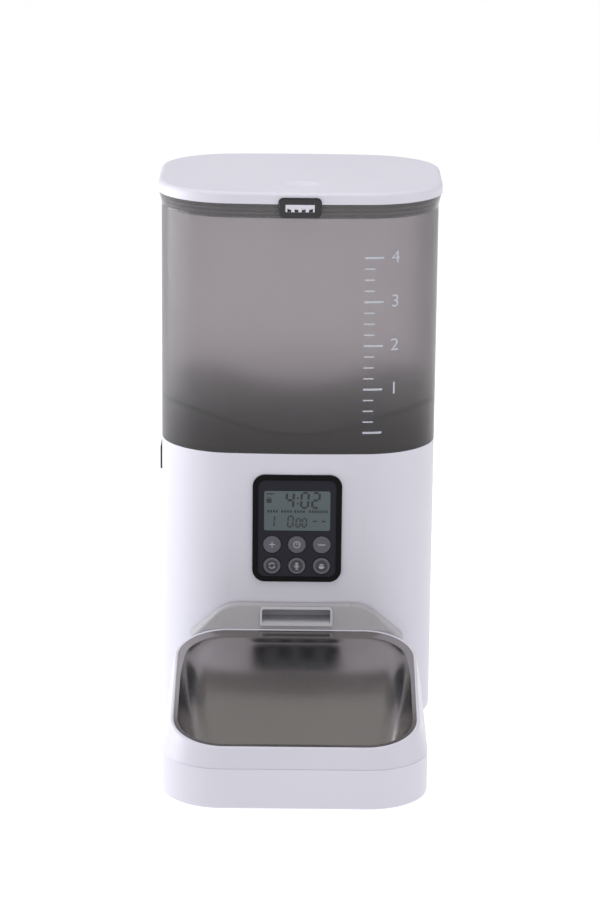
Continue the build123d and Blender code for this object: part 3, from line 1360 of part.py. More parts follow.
# Tank lock: a sprung push button in the left wall of the housing
lock_plane = Plane(origin=(-side_x, body_y, lock_level), x_dir=(0, -1, 0), z_dir=(-1, 0, 0))
with BuildPart() as tank_lock:
    with BuildSketch(lock_plane.offset(-lock_flange_x)):
        RectangleRounded(LOCK_WIDTH, LOCK_HEIGHT, LOCK_ROUND)
    extrude(amount=lock_flange_x + LOCK_PROUD)
    fillet(tank_lock.faces().sort_by(Axis.X)[0].edges(), LOCK_PROUD / 3)
    with BuildSketch(lock_plane.offset(-lock_flange_x)):
        RectangleRounded(LOCK_WIDTH + 2 * LOCK_FLANGE, LOCK_HEIGHT - RUN_GAP, LOCK_ROUND)
    extrude(amount=-LOCK_FLANGE_THICKNESS)
finish(tank_lock, "tank_lock")

lock_leaf_bow = LOCK_SEAT_GAP - LEAF_THICKNESS - FIT_GAP
with BuildPart() as lock_spring:
    with BuildSketch(Plane.XY.offset(lock_level - LEAF_WIDTH / 2)):
        with BuildLine():
            leaf_low = body_y - LOCK_WIDTH / 2
            leaf_high = body_y + LOCK_WIDTH / 2
            ThreePointArc(
                (lock_seat_x, leaf_low),
                (lock_seat_x - lock_leaf_bow, body_y),
                (lock_seat_x, leaf_high),
            )
            Line((lock_seat_x, leaf_high), (lock_seat_x - LEAF_THICKNESS, leaf_high))
            ThreePointArc(
                (lock_seat_x - LEAF_THICKNESS, leaf_high),
                (lock_seat_x - LEAF_THICKNESS - lock_leaf_bow, body_y),
                (lock_seat_x - LEAF_THICKNESS, leaf_low),
            )
            Line((lock_seat_x - LEAF_THICKNESS, leaf_low), (lock_seat_x, leaf_low))
        make_face()
    extrude(amount=LEAF_WIDTH)
finish(lock_spring, "lock_spring")

# Tray base: the lower tub, whose back follows the housing
tray_clear = body_column(-RUN_GAP, tray_bottom - WALL, housing_top)
tray_wall_line = body_column(-RUN_GAP - TRAY_WALL, tray_bottom - WALL, housing_top)
with BuildPart() as tray_room:
    with BuildSketch(Plane((0, tray_middle, tray_bottom + TRAY_FLOOR))):
        RectangleRounded(TRAY_WIDTH - 2 * TRAY_WALL, tray_length - 2 * TRAY_WALL, TRAY_RADIUS - TRAY_WALL)
    extrude(amount=TRAY_HEIGHT)
    add(tray_wall_line, mode=Mode.SUBTRACT)

tray_foot_spots = [
    (side * TRAY_FOOT_SPREAD / 2, tray_front + TRAY_FOOT_SETBACK) for side in (-1, 1)
]
with BuildPart() as tray_base:
    with BuildSketch(Plane((0, tray_middle, tray_bottom))):
        RectangleRounded(TRAY_WIDTH, tray_length, TRAY_RADIUS)
    extrude(amount=TRAY_HEIGHT)
    fillet(tray_base.faces().sort_by(Axis.Z)[0].edges(), TRAY_ROUND)
    fillet(tray_base.faces().sort_by(Axis.Z)[-1].edges(), SEAM_ROUND)
    add(tray_clear, mode=Mode.SUBTRACT)
    add(tray_room.part, mode=Mode.SUBTRACT)
    for x in tongue_spots:
        block(
            (x - TONGUE_WIDTH / 2, body_front - RUN_GAP - TRAY_WALL, TONGUE_LEVEL),
            (x + TONGUE_WIDTH / 2, body_front + TONGUE_LENGTH, TONGUE_LEVEL + TONGUE_HEIGHT),
        )
    with Locations(*[(x, y, tray_bottom) for x, y in tray_foot_spots]):
        Cylinder(FOOT_RADIUS + FIT_GAP, FOOT_RECESS, align=UPWARD, mode=Mode.SUBTRACT)
finish(tray_base, "tray_base")

with BuildPart() as tray_feet:
    with Locations(*[(x, y, 0) for x, y in tray_foot_spots]):
        Cylinder(FOOT_RADIUS, FOOT_HEIGHT + FOOT_RECESS, align=UPWARD)
    chamfer(tray_feet.faces().group_by(Axis.Z)[0].edges(), FOOT_RECESS / 2)
finish(tray_feet, "tray_feet")

# Bowl: pressed steel with a narrow flat rim, a shallow shelf at the back and a floor that falls to the front
bowl_opening_width = rim_width - 2 * (RIM_BAND + BOWL_FLANGE)
bowl_opening_length = rim_length - 2 * (RIM_BAND + BOWL_FLANGE)
bowl_opening_radius = RIM_RADIUS - RIM_BAND - BOWL_FLANGE
draft = radians(BOWL_DRAFT)
bowl_end = bowl_opening_length / 2
bowl_reach = bowl_end + BOWL_SHELF
shelf_slope = tan(radians(BOWL_SHELF_FALL))
crest_y = bowl_end - BOWL_SHELF
crest_depth = BOWL_REAR_DEPTH + BOWL_SHELF * shelf_slope
floor_front = BOWL_FRONT_DEPTH * tan(draft) - bowl_end
floor_slope = (BOWL_FRONT_DEPTH - crest_depth) / (crest_y - floor_front)
bowl_section = Plane(origin=rim_middle, x_dir=rim_plane.y_dir, z_dir=(1, 0, 0))


def bowl_form(grow):
    """The dish below the rim: its inside, or its outside when grown by the sheet."""
    spread = grow / cos(draft) + BOWL_ROUND * tan(draft)
    crest = (crest_y, -crest_depth - grow)
    with BuildPart() as form:
        with BuildSketch(rim_plane.offset(BOWL_ROUND)):
            RectangleRounded(
                bowl_opening_width + 2 * spread,
                bowl_opening_length + 2 * spread,
                bowl_opening_radius + spread,
            )
        extrude(amount=-BOWL_ROUND - BOWL_FRONT_DEPTH - WALL, taper=BOWL_DRAFT)
        with BuildSketch(bowl_section) as below:
            with BuildLine():
                Polyline(
                    (bowl_reach, crest[1] + (bowl_reach - crest_y) * shelf_slope),
                    crest,
                    (-bowl_reach, crest[1] - (bowl_reach + crest_y) * floor_slope),
                    (-bowl_reach, -TRAY_WIDTH),
                    (bowl_reach, -TRAY_WIDTH),
                    close=True,
                )
            make_face()
            fillet(below.vertices().sort_by_distance((*crest, 0))[0], BOWL_CREST)
        extrude(amount=TRAY_WIDTH, both=True, mode=Mode.SUBTRACT)
        base = form.faces().filter_by(lambda face: face.normal_at().dot(rim_plane.z_dir) < -cos(draft))
        base_edges = base.edges()
        fillet(
            [edge for edge in base_edges if sum(edge.is_same(other) for other in base_edges) == 1],
            BOWL_ROUND + grow,
        )
        with BuildSketch(rim_plane):
            Rectangle(2 * TRAY_WIDTH, 2 * TRAY_WIDTH)
        extrude(amount=2 * BOWL_ROUND, mode=Mode.SUBTRACT)
    return form.part


bowl_inside = bowl_form(0)
bowl_outside = bowl_form(BOWL_SHEET)
with BuildPart() as bowl:
    with BuildSketch(rim_plane):
        RectangleRounded(
            bowl_opening_width + 2 * BOWL_FLANGE,
            bowl_opening_length + 2 * BOWL_FLANGE,
            bowl_opening_radius + BOWL_FLANGE,
        )
    extrude(amount=-BOWL_SHEET)
    add(bowl_outside)
    add(bowl_inside, mode=Mode.SUBTRACT)
finish(bowl, "bowl")

# Bowl holder: the upper half of the tray, a sloping shell with a ledge for the bowl's rim
holder_well = rim_plane.offset(-BOWL_SHEET - FIT_GAP)
holder_under = rim_plane.offset(-RIM_PLATE - BOWL_SHEET)
with BuildPart() as holder_room:
    with BuildSketch(Plane((0, tray_middle, tray_seam))):
        RectangleRounded(TRAY_WIDTH - 2 * TRAY_WALL, tray_length - 2 * TRAY_WALL, TRAY_RADIUS - TRAY_WALL)
    with BuildSketch(holder_under):
        RectangleRounded(rim_width - 2 * TRAY_WALL, rim_length - 2 * TRAY_WALL, RIM_RADIUS - TRAY_WALL)
    loft(ruled=True)
    add(tray_wall_line, mode=Mode.SUBTRACT)
    block(
        (-TRAY_WIDTH, hood_front - RUN_GAP - TRAY_WALL, HOOD_BOTTOM - RUN_GAP - TRAY_WALL),
        (TRAY_WIDTH, tray_back + TRAY_WALL, housing_top),
        Mode.SUBTRACT,
    )

with BuildPart() as bowl_holder:
    with BuildSketch(Plane((0, tray_middle, tray_seam))):
        RectangleRounded(TRAY_WIDTH, tray_length, TRAY_RADIUS)
    with BuildSketch(rim_plane):
        RectangleRounded(rim_width, rim_length, RIM_RADIUS)
    loft(ruled=True)
    fillet(bowl_holder.faces().sort_by(Axis((0, 0, 0), rim_normal))[-1].edges(), RIM_ROUND)
    add(tray_clear, mode=Mode.SUBTRACT)
    block(
        (-TRAY_WIDTH, hood_front - RUN_GAP, HOOD_BOTTOM - RUN_GAP),
        (TRAY_WIDTH, tray_back + TRAY_WALL, housing_top),
        Mode.SUBTRACT,
    )
    add(holder_room.part, mode=Mode.SUBTRACT)
    with BuildSketch(holder_well):
        RectangleRounded(
            rim_width - 2 * RIM_BAND + 2 * RUN_GAP,
            rim_length - 2 * RIM_BAND + 2 * RUN_GAP,
            RIM_RADIUS - RIM_BAND + RUN_GAP,
        )
    extrude(amount=BOWL_SHEET + WALL, mode=Mode.SUBTRACT)
    with BuildSketch(holder_under):
        RectangleRounded(
            bowl_opening_width + 2 * (BOWL_SHEET + RUN_GAP),
            bowl_opening_length + 2 * (BOWL_SHEET + RUN_GAP),
            bowl_opening_radius + BOWL_SHEET + RUN_GAP,
        )
    extrude(amount=RIM_PLATE + BOWL_SHEET + WALL, both=True, mode=Mode.SUBTRACT)
finish(bowl_holder, "bowl_holder")
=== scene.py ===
# %% [markdown]
# # An automatic pet feeder
# The feeder is a smoked food tank on a white housing, with a steel bowl in a tray in front.
# The engineering model already holds every moulded part in its right place, so this lesson
# dresses those parts: it gives each one a finish, adds the thin prints that no engineer models,
# and sets up a studio around them.

# %% Load the frame
import bpy
import bmesh
from math import cos, pi, radians, sin, sqrt
from mathutils import Matrix, Vector


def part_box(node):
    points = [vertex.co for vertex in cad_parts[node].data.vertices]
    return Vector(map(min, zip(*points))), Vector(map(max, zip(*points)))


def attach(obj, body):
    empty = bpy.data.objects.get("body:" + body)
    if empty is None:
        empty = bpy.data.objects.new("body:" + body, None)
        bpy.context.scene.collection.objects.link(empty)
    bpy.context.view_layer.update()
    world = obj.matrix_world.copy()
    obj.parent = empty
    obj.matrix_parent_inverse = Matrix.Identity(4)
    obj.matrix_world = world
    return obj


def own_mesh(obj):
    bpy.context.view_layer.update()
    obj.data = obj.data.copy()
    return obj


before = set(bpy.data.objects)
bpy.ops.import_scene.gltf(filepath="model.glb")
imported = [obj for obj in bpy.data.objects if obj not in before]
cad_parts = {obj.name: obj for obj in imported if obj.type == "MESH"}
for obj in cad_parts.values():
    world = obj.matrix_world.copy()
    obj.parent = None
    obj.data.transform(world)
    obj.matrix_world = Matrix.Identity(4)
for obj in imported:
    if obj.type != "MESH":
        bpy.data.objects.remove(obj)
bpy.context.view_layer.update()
MM = 0.001

# %% [markdown]
# ## A workbench for finishes
# Every finish starts from Blender's Principled shader. Real plastic and metal are never one even
# colour, so small helpers feed the shader with noise: for slow changes in tone, for a roughness
# that wanders, and for the fine grain that catches the light. They read Object coordinates, in
# metres, so a scale of 900 means a speck of about a millimetre. A noise stays mostly between 0.3
# and 0.7, and the helpers stretch that span to the range that a finish asks for.

# %% Helpers for finishes
NOISE_LOW, NOISE_HIGH = 0.3, 0.7
GRAIN_DEPTH = 0.2 * MM


def new_finish(name):
    finish = bpy.data.materials.new(name)
    finish.use_nodes = True
    tree = finish.node_tree
    place = tree.nodes.new("ShaderNodeTexCoord")
    return finish, tree, tree.nodes["Principled BSDF"], place.outputs["Object"]


def noise(tree, place, scale, detail=4.0, stretch=(1, 1, 1)):
    mapping = tree.nodes.new("ShaderNodeMapping")
    mapping.inputs["Scale"].default_value = stretch
    tree.links.new(place, mapping.inputs["Vector"])
    texture = tree.nodes.new("ShaderNodeTexNoise")
    texture.inputs["Scale"].default_value = scale
    texture.inputs["Detail"].default_value = detail
    tree.links.new(mapping.outputs["Vector"], texture.inputs["Vector"])
    return texture.outputs["Fac"]


def remap(tree, value, low, high, first, last):
    spread = tree.nodes.new("ShaderNodeMapRange")
    spread.inputs["From Min"].default_value = low
    spread.inputs["From Max"].default_value = high
    spread.inputs["To Min"].default_value = first
    spread.inputs["To Max"].default_value = last
    tree.links.new(value, spread.inputs["Value"])
    return spread


def between(tree, amount, low, high):
    return remap(tree, amount, NOISE_LOW, NOISE_HIGH, low, high).outputs["Result"]


def tones(tree, amount, first, second):
    ramp = tree.nodes.new("ShaderNodeValToRGB")
    low, high = ramp.color_ramp.elements
    low.position, low.color = NOISE_LOW, (*first, 1)
    high.position, high.color = NOISE_HIGH, (*second, 1)
    tree.links.new(amount, ramp.inputs["Fac"])
    return ramp.outputs["Color"]


def grain(tree, shader, height, strength, depth=GRAIN_DEPTH):
    bump = tree.nodes.new("ShaderNodeBump")
    bump.inputs["Strength"].default_value = strength
    bump.inputs["Distance"].default_value = depth
    tree.links.new(height, bump.inputs["Height"])
    tree.links.new(bump.outputs["Normal"], shader.inputs["Normal"])


print("grain depth in mm:", GRAIN_DEPTH / MM)

# %% [markdown]
# ## Moulded plastics
# Most of the feeder is injection-moulded ABS. Its skin is a satin with a very fine orange peel,
# and its tone drifts a little where the melt flowed. One recipe serves all of these: two near
# tones mixed by a slow noise, a roughness that wanders with faint upright scuffs, and a shallow
# bump.

# %% Moulded plastic recipe
FLOW_SCALE, PEEL_SCALE, SCUFF_SCALE = 9, 1400, 160
SCUFF_STRETCH = (1, 1, 0.25)


def moulded(name, first, second, rough, peel=0.05, gloss=0.5):
    finish, tree, shader, place = new_finish(name)
    slow = noise(tree, place, FLOW_SCALE)
    fine = noise(tree, place, PEEL_SCALE, 2)
    scuffs = noise(tree, place, SCUFF_SCALE, 6, SCUFF_STRETCH)
    tree.links.new(tones(tree, slow, first, second), shader.inputs["Base Color"])
    tree.links.new(between(tree, scuffs, rough * 0.85, rough * 1.2), shader.inputs["Roughness"])
    shader.inputs["Specular IOR Level"].default_value = gloss
    grain(tree, shader, fine, peel)
    return finish


white_moulding = moulded("white_moulding", (0.70, 0.685, 0.77), (0.73, 0.715, 0.80), 0.34)
chute_white = moulded("chute_white", (0.58, 0.57, 0.61), (0.62, 0.61, 0.65), 0.38)
hood_grey = moulded("hood_grey", (0.43, 0.415, 0.435), (0.47, 0.455, 0.475), 0.30)
latch_black = moulded("latch_black", (0.014, 0.014, 0.016), (0.022, 0.021, 0.024), 0.38)
bezel_black = moulded("bezel_black", (0.006, 0.006, 0.007), (0.009, 0.009, 0.010), 0.30, gloss=0.06)
wheel_grey = moulded("wheel_grey", (0.50, 0.49, 0.50), (0.56, 0.55, 0.56), 0.45)
gear_ivory = moulded("gear_ivory", (0.78, 0.75, 0.66), (0.83, 0.80, 0.72), 0.42)
case_grey = moulded("case_grey", (0.10, 0.10, 0.11), (0.13, 0.13, 0.14), 0.5)
board_green = moulded("board_green", (0.015, 0.09, 0.035), (0.02, 0.11, 0.045), 0.35)
print("moulded finishes ready")

# %% [markdown]
# ## Smoked tank
# The tank is tinted, slightly frosted plastic. Light passes through it, scatters a little and
# loses strength, so the near wall, the far wall and the funnel floor each make it darker. A
# transmitting shader with some roughness gives exactly that layering. Absorption inside the wall
# adds what a tinted skin can't: the corners, where one looks along the wall, come out darker. Its
# colour is also painted darker towards the bottom, as painted shade of the dark interior below the
# funnel, and it is polished inside the rim, where the ribs of the seal slide and show through.

# %% Smoked plastic
# Below these heights the tank's colour is painted darker, as painted shade.
PAINTED_SHADE_Z, PAINTED_SHADE_END_Z = 200 * MM, 257 * MM
POLISH_FADE, POLISHED = 2 * MM, 0.2
WALL_TINT, WALL_DENSITY = (0.06, 0.0, 0.04, 1), 185
seal_low, seal_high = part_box("lid_seal")


def smoked_plastic():
    finish, tree, shader, place = new_finish("smoked_plastic")
    slow = noise(tree, place, 7)
    haze = noise(tree, place, 40, 5)
    split = tree.nodes.new("ShaderNodeSeparateXYZ")
    tree.links.new(place, split.inputs["Vector"])
    height = split.outputs["Z"]

    # A Mix node of colours takes them on its sockets 6 and 7 and gives the result on output 2
    # This mix is painted shade: it darkens the tank's colour towards the bottom.
    tint = tree.nodes.new("ShaderNodeMix")
    tint.data_type = "RGBA"
    painted_shade_fade = remap(tree, height, PAINTED_SHADE_Z, PAINTED_SHADE_END_Z, 0.0, 1.0)
    painted_shade_fade.interpolation_type = "SMOOTHSTEP"
    tree.links.new(painted_shade_fade.outputs["Result"], tint.inputs[0])
    tree.links.new(tones(tree, slow, (0.43, 0.405, 0.42), (0.46, 0.435, 0.45)), tint.inputs[6])
    tree.links.new(tones(tree, slow, (0.87, 0.845, 0.865), (0.90, 0.875, 0.895)), tint.inputs[7])
    tree.links.new(tint.outputs[2], shader.inputs["Base Color"])

    polish = remap(tree, height, seal_low.z, seal_low.z + POLISH_FADE, 1.0, POLISHED)
    dull = tree.nodes.new("ShaderNodeMath")
    dull.operation = "MULTIPLY"
    tree.links.new(between(tree, haze, 0.28, 0.33), dull.inputs[0])
    tree.links.new(polish.outputs["Result"], dull.inputs[1])
    tree.links.new(dull.outputs["Value"], shader.inputs["Roughness"])

    shader.inputs["Transmission Weight"].default_value = 0.90
    shader.inputs["IOR"].default_value = 1.3
    grain(tree, shader, noise(tree, place, 1200, 2), 0.012)
    depth = tree.nodes.new("ShaderNodeVolumeAbsorption")
    depth.inputs["Color"].default_value = WALL_TINT
    depth.inputs["Density"].default_value = WALL_DENSITY
    tree.links.new(depth.outputs["Volume"], tree.nodes["Material Output"].inputs["Volume"])
    return finish


tank_smoke = smoked_plastic()
print("tank finish ready, polished above", round(seal_low.z / MM, 1), "mm")

# %% [markdown]
# ## Rubber
# The seal and the feet are matt rubber. The seal's tone follows a wave with the ribs' own pitch:
# painted shade in the grooves and a painted highlight on the tip of each of its four ribs.
# Blender's band wave turns by 20 radians per metre at a scale of 1, which gives the scale for a
# pitch, and the phase puts a crest on the top rib.

# %% Rubber finishes
WAVE_TURN = 20
RIB_HEIGHT, RIBS = 1.2 * MM, 4


def rubber_skin(tree, shader, place):
    fine = noise(tree, place, 700, 3)
    tree.links.new(between(tree, fine, 0.62, 0.8), shader.inputs["Roughness"])
    grain(tree, shader, fine, 0.15)


def rubber(name, first, second):
    finish, tree, shader, place = new_finish(name)
    tree.links.new(tones(tree, noise(tree, place, 60), first, second), shader.inputs["Base Color"])
    rubber_skin(tree, shader, place)
    return finish


def ribbed_rubber(name, shaded_groove, tip, pitch, top_rib):
    finish, tree, shader, place = new_finish(name)
    ribs = tree.nodes.new("ShaderNodeTexWave")
    ribs.bands_direction = "Z"
    turns = 2 * pi / pitch
    ribs.inputs["Scale"].default_value = turns / WAVE_TURN
    ribs.inputs["Phase Offset"].default_value = pi - turns * top_rib
    tree.links.new(place, ribs.inputs["Vector"])
    # Painted shade in the grooves and a painted highlight on each rib tip.
    tree.links.new(tones(tree, ribs.outputs["Fac"], shaded_groove, tip), shader.inputs["Base Color"])
    rubber_skin(tree, shader, place)
    return finish


rib_pitch = (seal_high.z - seal_low.z - RIB_HEIGHT) / (RIBS - 1)
# The seal's rib bands are painted shade and painted highlights.
seal_rubber = ribbed_rubber("seal_rubber", (0.012, 0.012, 0.013), (0.26, 0.25, 0.26),
                            rib_pitch, seal_high.z - RIB_HEIGHT / 2)
foot_rubber = rubber("foot_rubber", (0.04, 0.04, 0.04), (0.05, 0.05, 0.05))
print("rubber ready, rib pitch in mm:", round(rib_pitch / MM, 2))

# %% [markdown]
# ## Steel and the small metal parts
# The bowl is drawn stainless steel: nearly a mirror, but with the faint drag marks of the press,
# so its roughness noise is stretched along one axis. The hidden hardware is zinc plate, brass and
# a wrapped cell, so that the inside holds up when the lid and the tank are off.

# %% Metal finishes
MARK_SCALE, MARK_DEPTH = 260, 0.1 * MM


def metal(name, first, second, rough, bump, stretch=(1, 1, 1)):
    finish, tree, shader, place = new_finish(name)
    marks = noise(tree, place, MARK_SCALE, 6, stretch)
    tree.links.new(tones(tree, noise(tree, place, 12), first, second), shader.inputs["Base Color"])
    tree.links.new(between(tree, marks, *rough), shader.inputs["Roughness"])
    shader.inputs["Metallic"].default_value = 1.0
    grain(tree, shader, marks, bump, MARK_DEPTH)
    return finish


bowl_steel = metal("bowl_steel", (0.39, 0.367, 0.355), (0.41, 0.387, 0.375),
                   (0.17, 0.21), 0.003, (1, 0.15, 1))
zinc_plate = metal("zinc_plate", (0.56, 0.56, 0.58), (0.64, 0.64, 0.65), (0.25, 0.4), 0.05)
brass_plate = metal("brass_plate", (0.72, 0.60, 0.36), (0.78, 0.66, 0.42), (0.25, 0.4), 0.05)
motor_can = metal("motor_can", (0.52, 0.52, 0.54), (0.58, 0.58, 0.60),
                  (0.3, 0.42), 0.04, (1, 1, 0.1))
cell_wrap = metal("cell_wrap", (0.20, 0.21, 0.23), (0.24, 0.25, 0.27),
                  (0.3, 0.42), 0.03, (0.2, 1, 1))
print("metal ready")

# %% [markdown]
# ## Control panel finishes
# The panel is a dark glossy sheet. Behind its window lies a liquid-crystal display, a greenish
# grey that stays flat. The keys of the top row are lighter grey discs, those of the bottom row
# are dark with a lighter ring, and the marks on them are pale print.

# %% Panel finishes
panel_slate = moulded("panel_slate", (0.023, 0.0225, 0.032), (0.028, 0.0275, 0.038),
                      0.20, 0.02, gloss=0.08)
display_glass = moulded("display_glass", (0.114, 0.140, 0.150), (0.127, 0.155, 0.166),
                        0.16, 0.01, gloss=0.12)
display_ink = moulded("display_ink", (0.014, 0.019, 0.021), (0.019, 0.024, 0.026), 0.4, 0.02)
key_grey = moulded("key_grey", (0.095, 0.092, 0.115), (0.112, 0.108, 0.135), 0.42, 0.08)
key_dark = moulded("key_dark", (0.034, 0.036, 0.046), (0.042, 0.044, 0.056), 0.40, 0.08)
ring_grey = moulded("ring_grey", (0.11, 0.11, 0.135), (0.13, 0.13, 0.155), 0.42, 0.05)
mark_pale = moulded("mark_pale", (0.42, 0.42, 0.46), (0.48, 0.48, 0.52), 0.5, 0.05)
scale_print = moulded("scale_print", (0.50, 0.52, 0.60), (0.54, 0.56, 0.64), 0.5, 0.04)
print("panel finishes ready")

# %% [markdown]
# ## Dress the engineering parts
# A part from the frame keeps its shape and only changes its finish. The list runs from the
# outside in, and the last line reports any part that was forgotten.

# %% Give every part its finish
dress = {
    "housing": white_moulding, "lid": white_moulding, "tray_base": white_moulding,
    "bowl_holder": white_moulding, "base_cover": white_moulding, "battery_door": white_moulding,
    "battery_box": white_moulding, "latch_button": white_moulding, "chute": chute_white,
    "rotor_pan": chute_white, "outlet_shield": chute_white, "outlet_hood": hood_grey,
    "latch_frame": latch_black, "tank_lock": latch_black, "panel_bezel": bezel_black,
    "panel_overlay": panel_slate, "lcd_window": display_glass, "lcd_module": display_ink,
    "tank": tank_smoke, "rotor": wheel_grey, "lid_seal": seal_rubber, "bowl": bowl_steel,
    "rubber_feet": foot_rubber, "tray_feet": foot_rubber, "main_board": board_green,
    "gearbox_case": case_grey, "gearbox_cover": case_grey, "tact_switches": case_grey,
    "speaker": case_grey, "dc_jack": case_grey, "microphone": case_grey,
    "motor": motor_can, "battery_cells": cell_wrap, "battery_contacts": brass_plate,
    "button_plus": key_grey, "button_set": key_grey, "button_minus": key_grey,
    "button_mode": key_dark, "button_record": key_dark, "button_feed": key_dark,
}
for part in ("output_gear", "idler_gear", "motor_pinion", "output_shaft", "shaft_bush"):
    dress[part] = gear_ivory
for part in ("cover_screws", "door_screw", "pan_screws", "motor_screws", "gearbox_screws",
             "board_screws", "hinge_pin", "idler_axle", "motor_shaft", "latch_spring",
             "lock_spring"):
    dress[part] = zinc_plate
for part, finish in dress.items():
    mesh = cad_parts[part].data
    mesh.materials.clear()
    mesh.materials.append(finish)
print("undressed parts:", sorted(set(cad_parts) - set(dress)))

# %% [markdown]
# ## Leaf springs
# Behind the lid's latch and behind the tank's lock lies an arched strip of spring steel. A press
# on the button pushes the arch flat against its seat. Here each spring only gets a mesh of its own.


def give_way(spring):
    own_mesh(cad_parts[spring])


give_way("latch_spring")
give_way("lock_spring")

# %% [markdown]
# ## Thin prints
# Display strokes, key marks and the level scale are ink a few hundredths of a millimetre thick.
# Each is a flat mesh drawn in millimetres on a sheet that faces the viewer, with x to the right
# and y up, then pushed to a small thickness and stood up on its part. Bars, discs and bent bands
# are all the shapes it takes, and each comes from one bmesh operator.

# %% Helpers for prints
INK, SCALE_INK = 0.04, 0.05
MERGE = 0.0005


def bar(bm, x, y, width, height, slant=0.0):
    lean = Matrix(((1, slant, 0, 0), (0, 1, 0, 0), (0, 0, 1, 0), (0, 0, 0, 1)))
    place = Matrix.Translation((x, y, 0)) @ lean @ Matrix.Diagonal((width, height, 1, 1))
    bmesh.ops.create_grid(bm, x_segments=1, y_segments=1, size=0.5, matrix=place)


def disc(bm, x, y, radius, segments=32):
    place = Matrix.Translation((x, y, 0))
    bmesh.ops.create_circle(bm, cap_ends=True, segments=segments, radius=radius, matrix=place)


def arc_band(bm, x, y, inner, outer, start=0.0, sweep=360.0, steps=48):
    turn = Matrix.Rotation(radians(start), 3, "Z")
    ends = [bm.verts.new(Vector((x, y, 0)) + turn @ Vector((r, 0, 0))) for r in (inner, outer)]
    edge = bm.edges.new(ends)
    bmesh.ops.spin(bm, geom=ends + [edge], cent=(x, y, 0), axis=(0, 0, 1), angle=radians(sweep),
                   steps=steps, use_merge=sweep >= 360)


def print_piece(name, bm, centre, finish, body, thickness=INK):
    bmesh.ops.remove_doubles(bm, verts=bm.verts, dist=MERGE)
    bmesh.ops.recalc_face_normals(bm, faces=bm.faces)
    turned_away = [f for f in bm.faces if f.normal.z < 0]
    bmesh.ops.reverse_faces(bm, faces=turned_away)
    bmesh.ops.solidify(bm, geom=bm.faces[:], thickness=-thickness)
    upright = Matrix.Rotation(radians(90), 4, "X")
    stand = Matrix.Translation(centre) @ upright @ Matrix.Scale(MM, 4)
    bmesh.ops.transform(bm, matrix=stand, verts=bm.verts)
    bmesh.ops.recalc_face_normals(bm, faces=bm.faces)
    mesh = bpy.data.meshes.new(name)
    bm.to_mesh(mesh)
    bm.free()
    mesh.materials.append(finish)
    piece = bpy.data.objects.new(name, mesh)
    bpy.context.scene.collection.objects.link(piece)
    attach(piece, body)
    print(name, "faces:", len(mesh.polygons))
    return piece


def front_centre(part):
    low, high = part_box(part)
    return Vector(((low.x + high.x) / 2, low.y, (low.z + high.z) / 2))


print("ink in mm:", INK, "and", SCALE_INK)

# %% [markdown]
# ## A digit of seven strokes
# A liquid-crystal digit is seven strokes, lettered from a at the top to g in the middle, and a
# string says which of them are dark. The strokes lean a little, as on most clocks, and stop short
# of each other, so that gaps show between them.

# %% Seven strokes
STROKES = {"0": "abcdef", "1": "bc", "2": "abged", "4": "fgbc"}
LEAN = 0.06
END_GAP = 0.7


def digit(bm, mark, x, y, width, height, weight):
    half = height / 2
    side = width / 2
    shift = LEAN * half
    places = {
        "a": (x + shift, y + half, width, weight),
        "g": (x, y, width, weight),
        "d": (x - shift, y - half, width, weight),
        "f": (x - side + shift / 2, y + half / 2, weight, half),
        "b": (x + side + shift / 2, y + half / 2, weight, half),
        "e": (x - side - shift / 2, y - half / 2, weight, half),
        "c": (x + side - shift / 2, y - half / 2, weight, half),
    }
    for stroke in STROKES[mark]:
        stroke_x, stroke_y, wide, tall = places[stroke]
        wide = max(wide - weight, weight)
        tall = max(tall - weight * END_GAP, weight)
        bar(bm, stroke_x, stroke_y, wide, tall, LEAN)


print("digits ready:", *STROKES)

# %% [markdown]
# ## Display
# The display shows a time, a padlock below a row of dots, a row of small captions as plain dashes,
# and a meal counter whose digits stand on one line. Everything is one mesh on the window, because
# it is one sheet of ink on the real glass.

# %% Display strokes
TIME_Y, CAPTION_Y, COUNT_FOOT, DASH_Y, DOTS_Y = 7.6, -0.4, -11.4, -7.4, 12.0
CAPTION_STEP, DOT_STEP = 1.95, 1.4
LOCK_X = -19.4

ink = bmesh.new()
for mark, x in (("4", -5.0), ("0", 5.2), ("2", 12.8)):
    digit(ink, mark, x, TIME_Y, 4.7, 10.6, 1.6)
for y in (5.2, 9.2):
    bar(ink, 0.3, y, 1.2, 1.2, LEAN)
for start, dashes in ((-19.9, 4), (-10.2, 4), (-1.3, 4), (8.7, 7)):
    for step in range(dashes):
        bar(ink, start + CAPTION_STEP * step, CAPTION_Y, 1.3, 1.8)
for mark, x, wide, high in (("1", -17.4, 3.4, 7.6), ("0", -4.6, 3.4, 7.6),
                            ("0", 0.7, 2.7, 6.0), ("0", 5.0, 2.7, 6.0)):
    digit(ink, mark, x, COUNT_FOOT + high / 2, wide, high, 1.0)
for x in (12.2, 18.2):
    bar(ink, x, DASH_Y, 2.6, 1.1)
bar(ink, LOCK_X, 7.0, 3.4, 2.8)
arc_band(ink, LOCK_X, 8.2, 1.0, 1.5, 0, 180, 16)
for step in range(4):
    bar(ink, -20.6 + step * DOT_STEP, DOTS_Y, 0.95, 1.2)
print_piece("display_strokes", ink, front_centre("lcd_window"), display_ink, "base")

# %% [markdown]
# ## Marks of the top row
# The marks tell the keys apart. They are drawn as simple signs, each in the middle of its key, and
# they ride on that key, so they move when it is pressed. The top row has a plus, a clock for
# setting the time, and a minus.

# %% Plus, clock and minus
PLUS_LINE, HAND_LINE, MINUS_LINE = 0.55, 0.45, 0.7


def key_print(key, bm, name=None, finish=mark_pale):
    print_piece(name or f"mark_{key}", bm, front_centre(f"button_{key}"), finish,
                f"key_{key}")


plus = bmesh.new()
bar(plus, 0, 0, 4.2, PLUS_LINE)
for y in (1.2, -1.2):
    bar(plus, 0, y, PLUS_LINE, 1.8)
key_print("plus", plus)

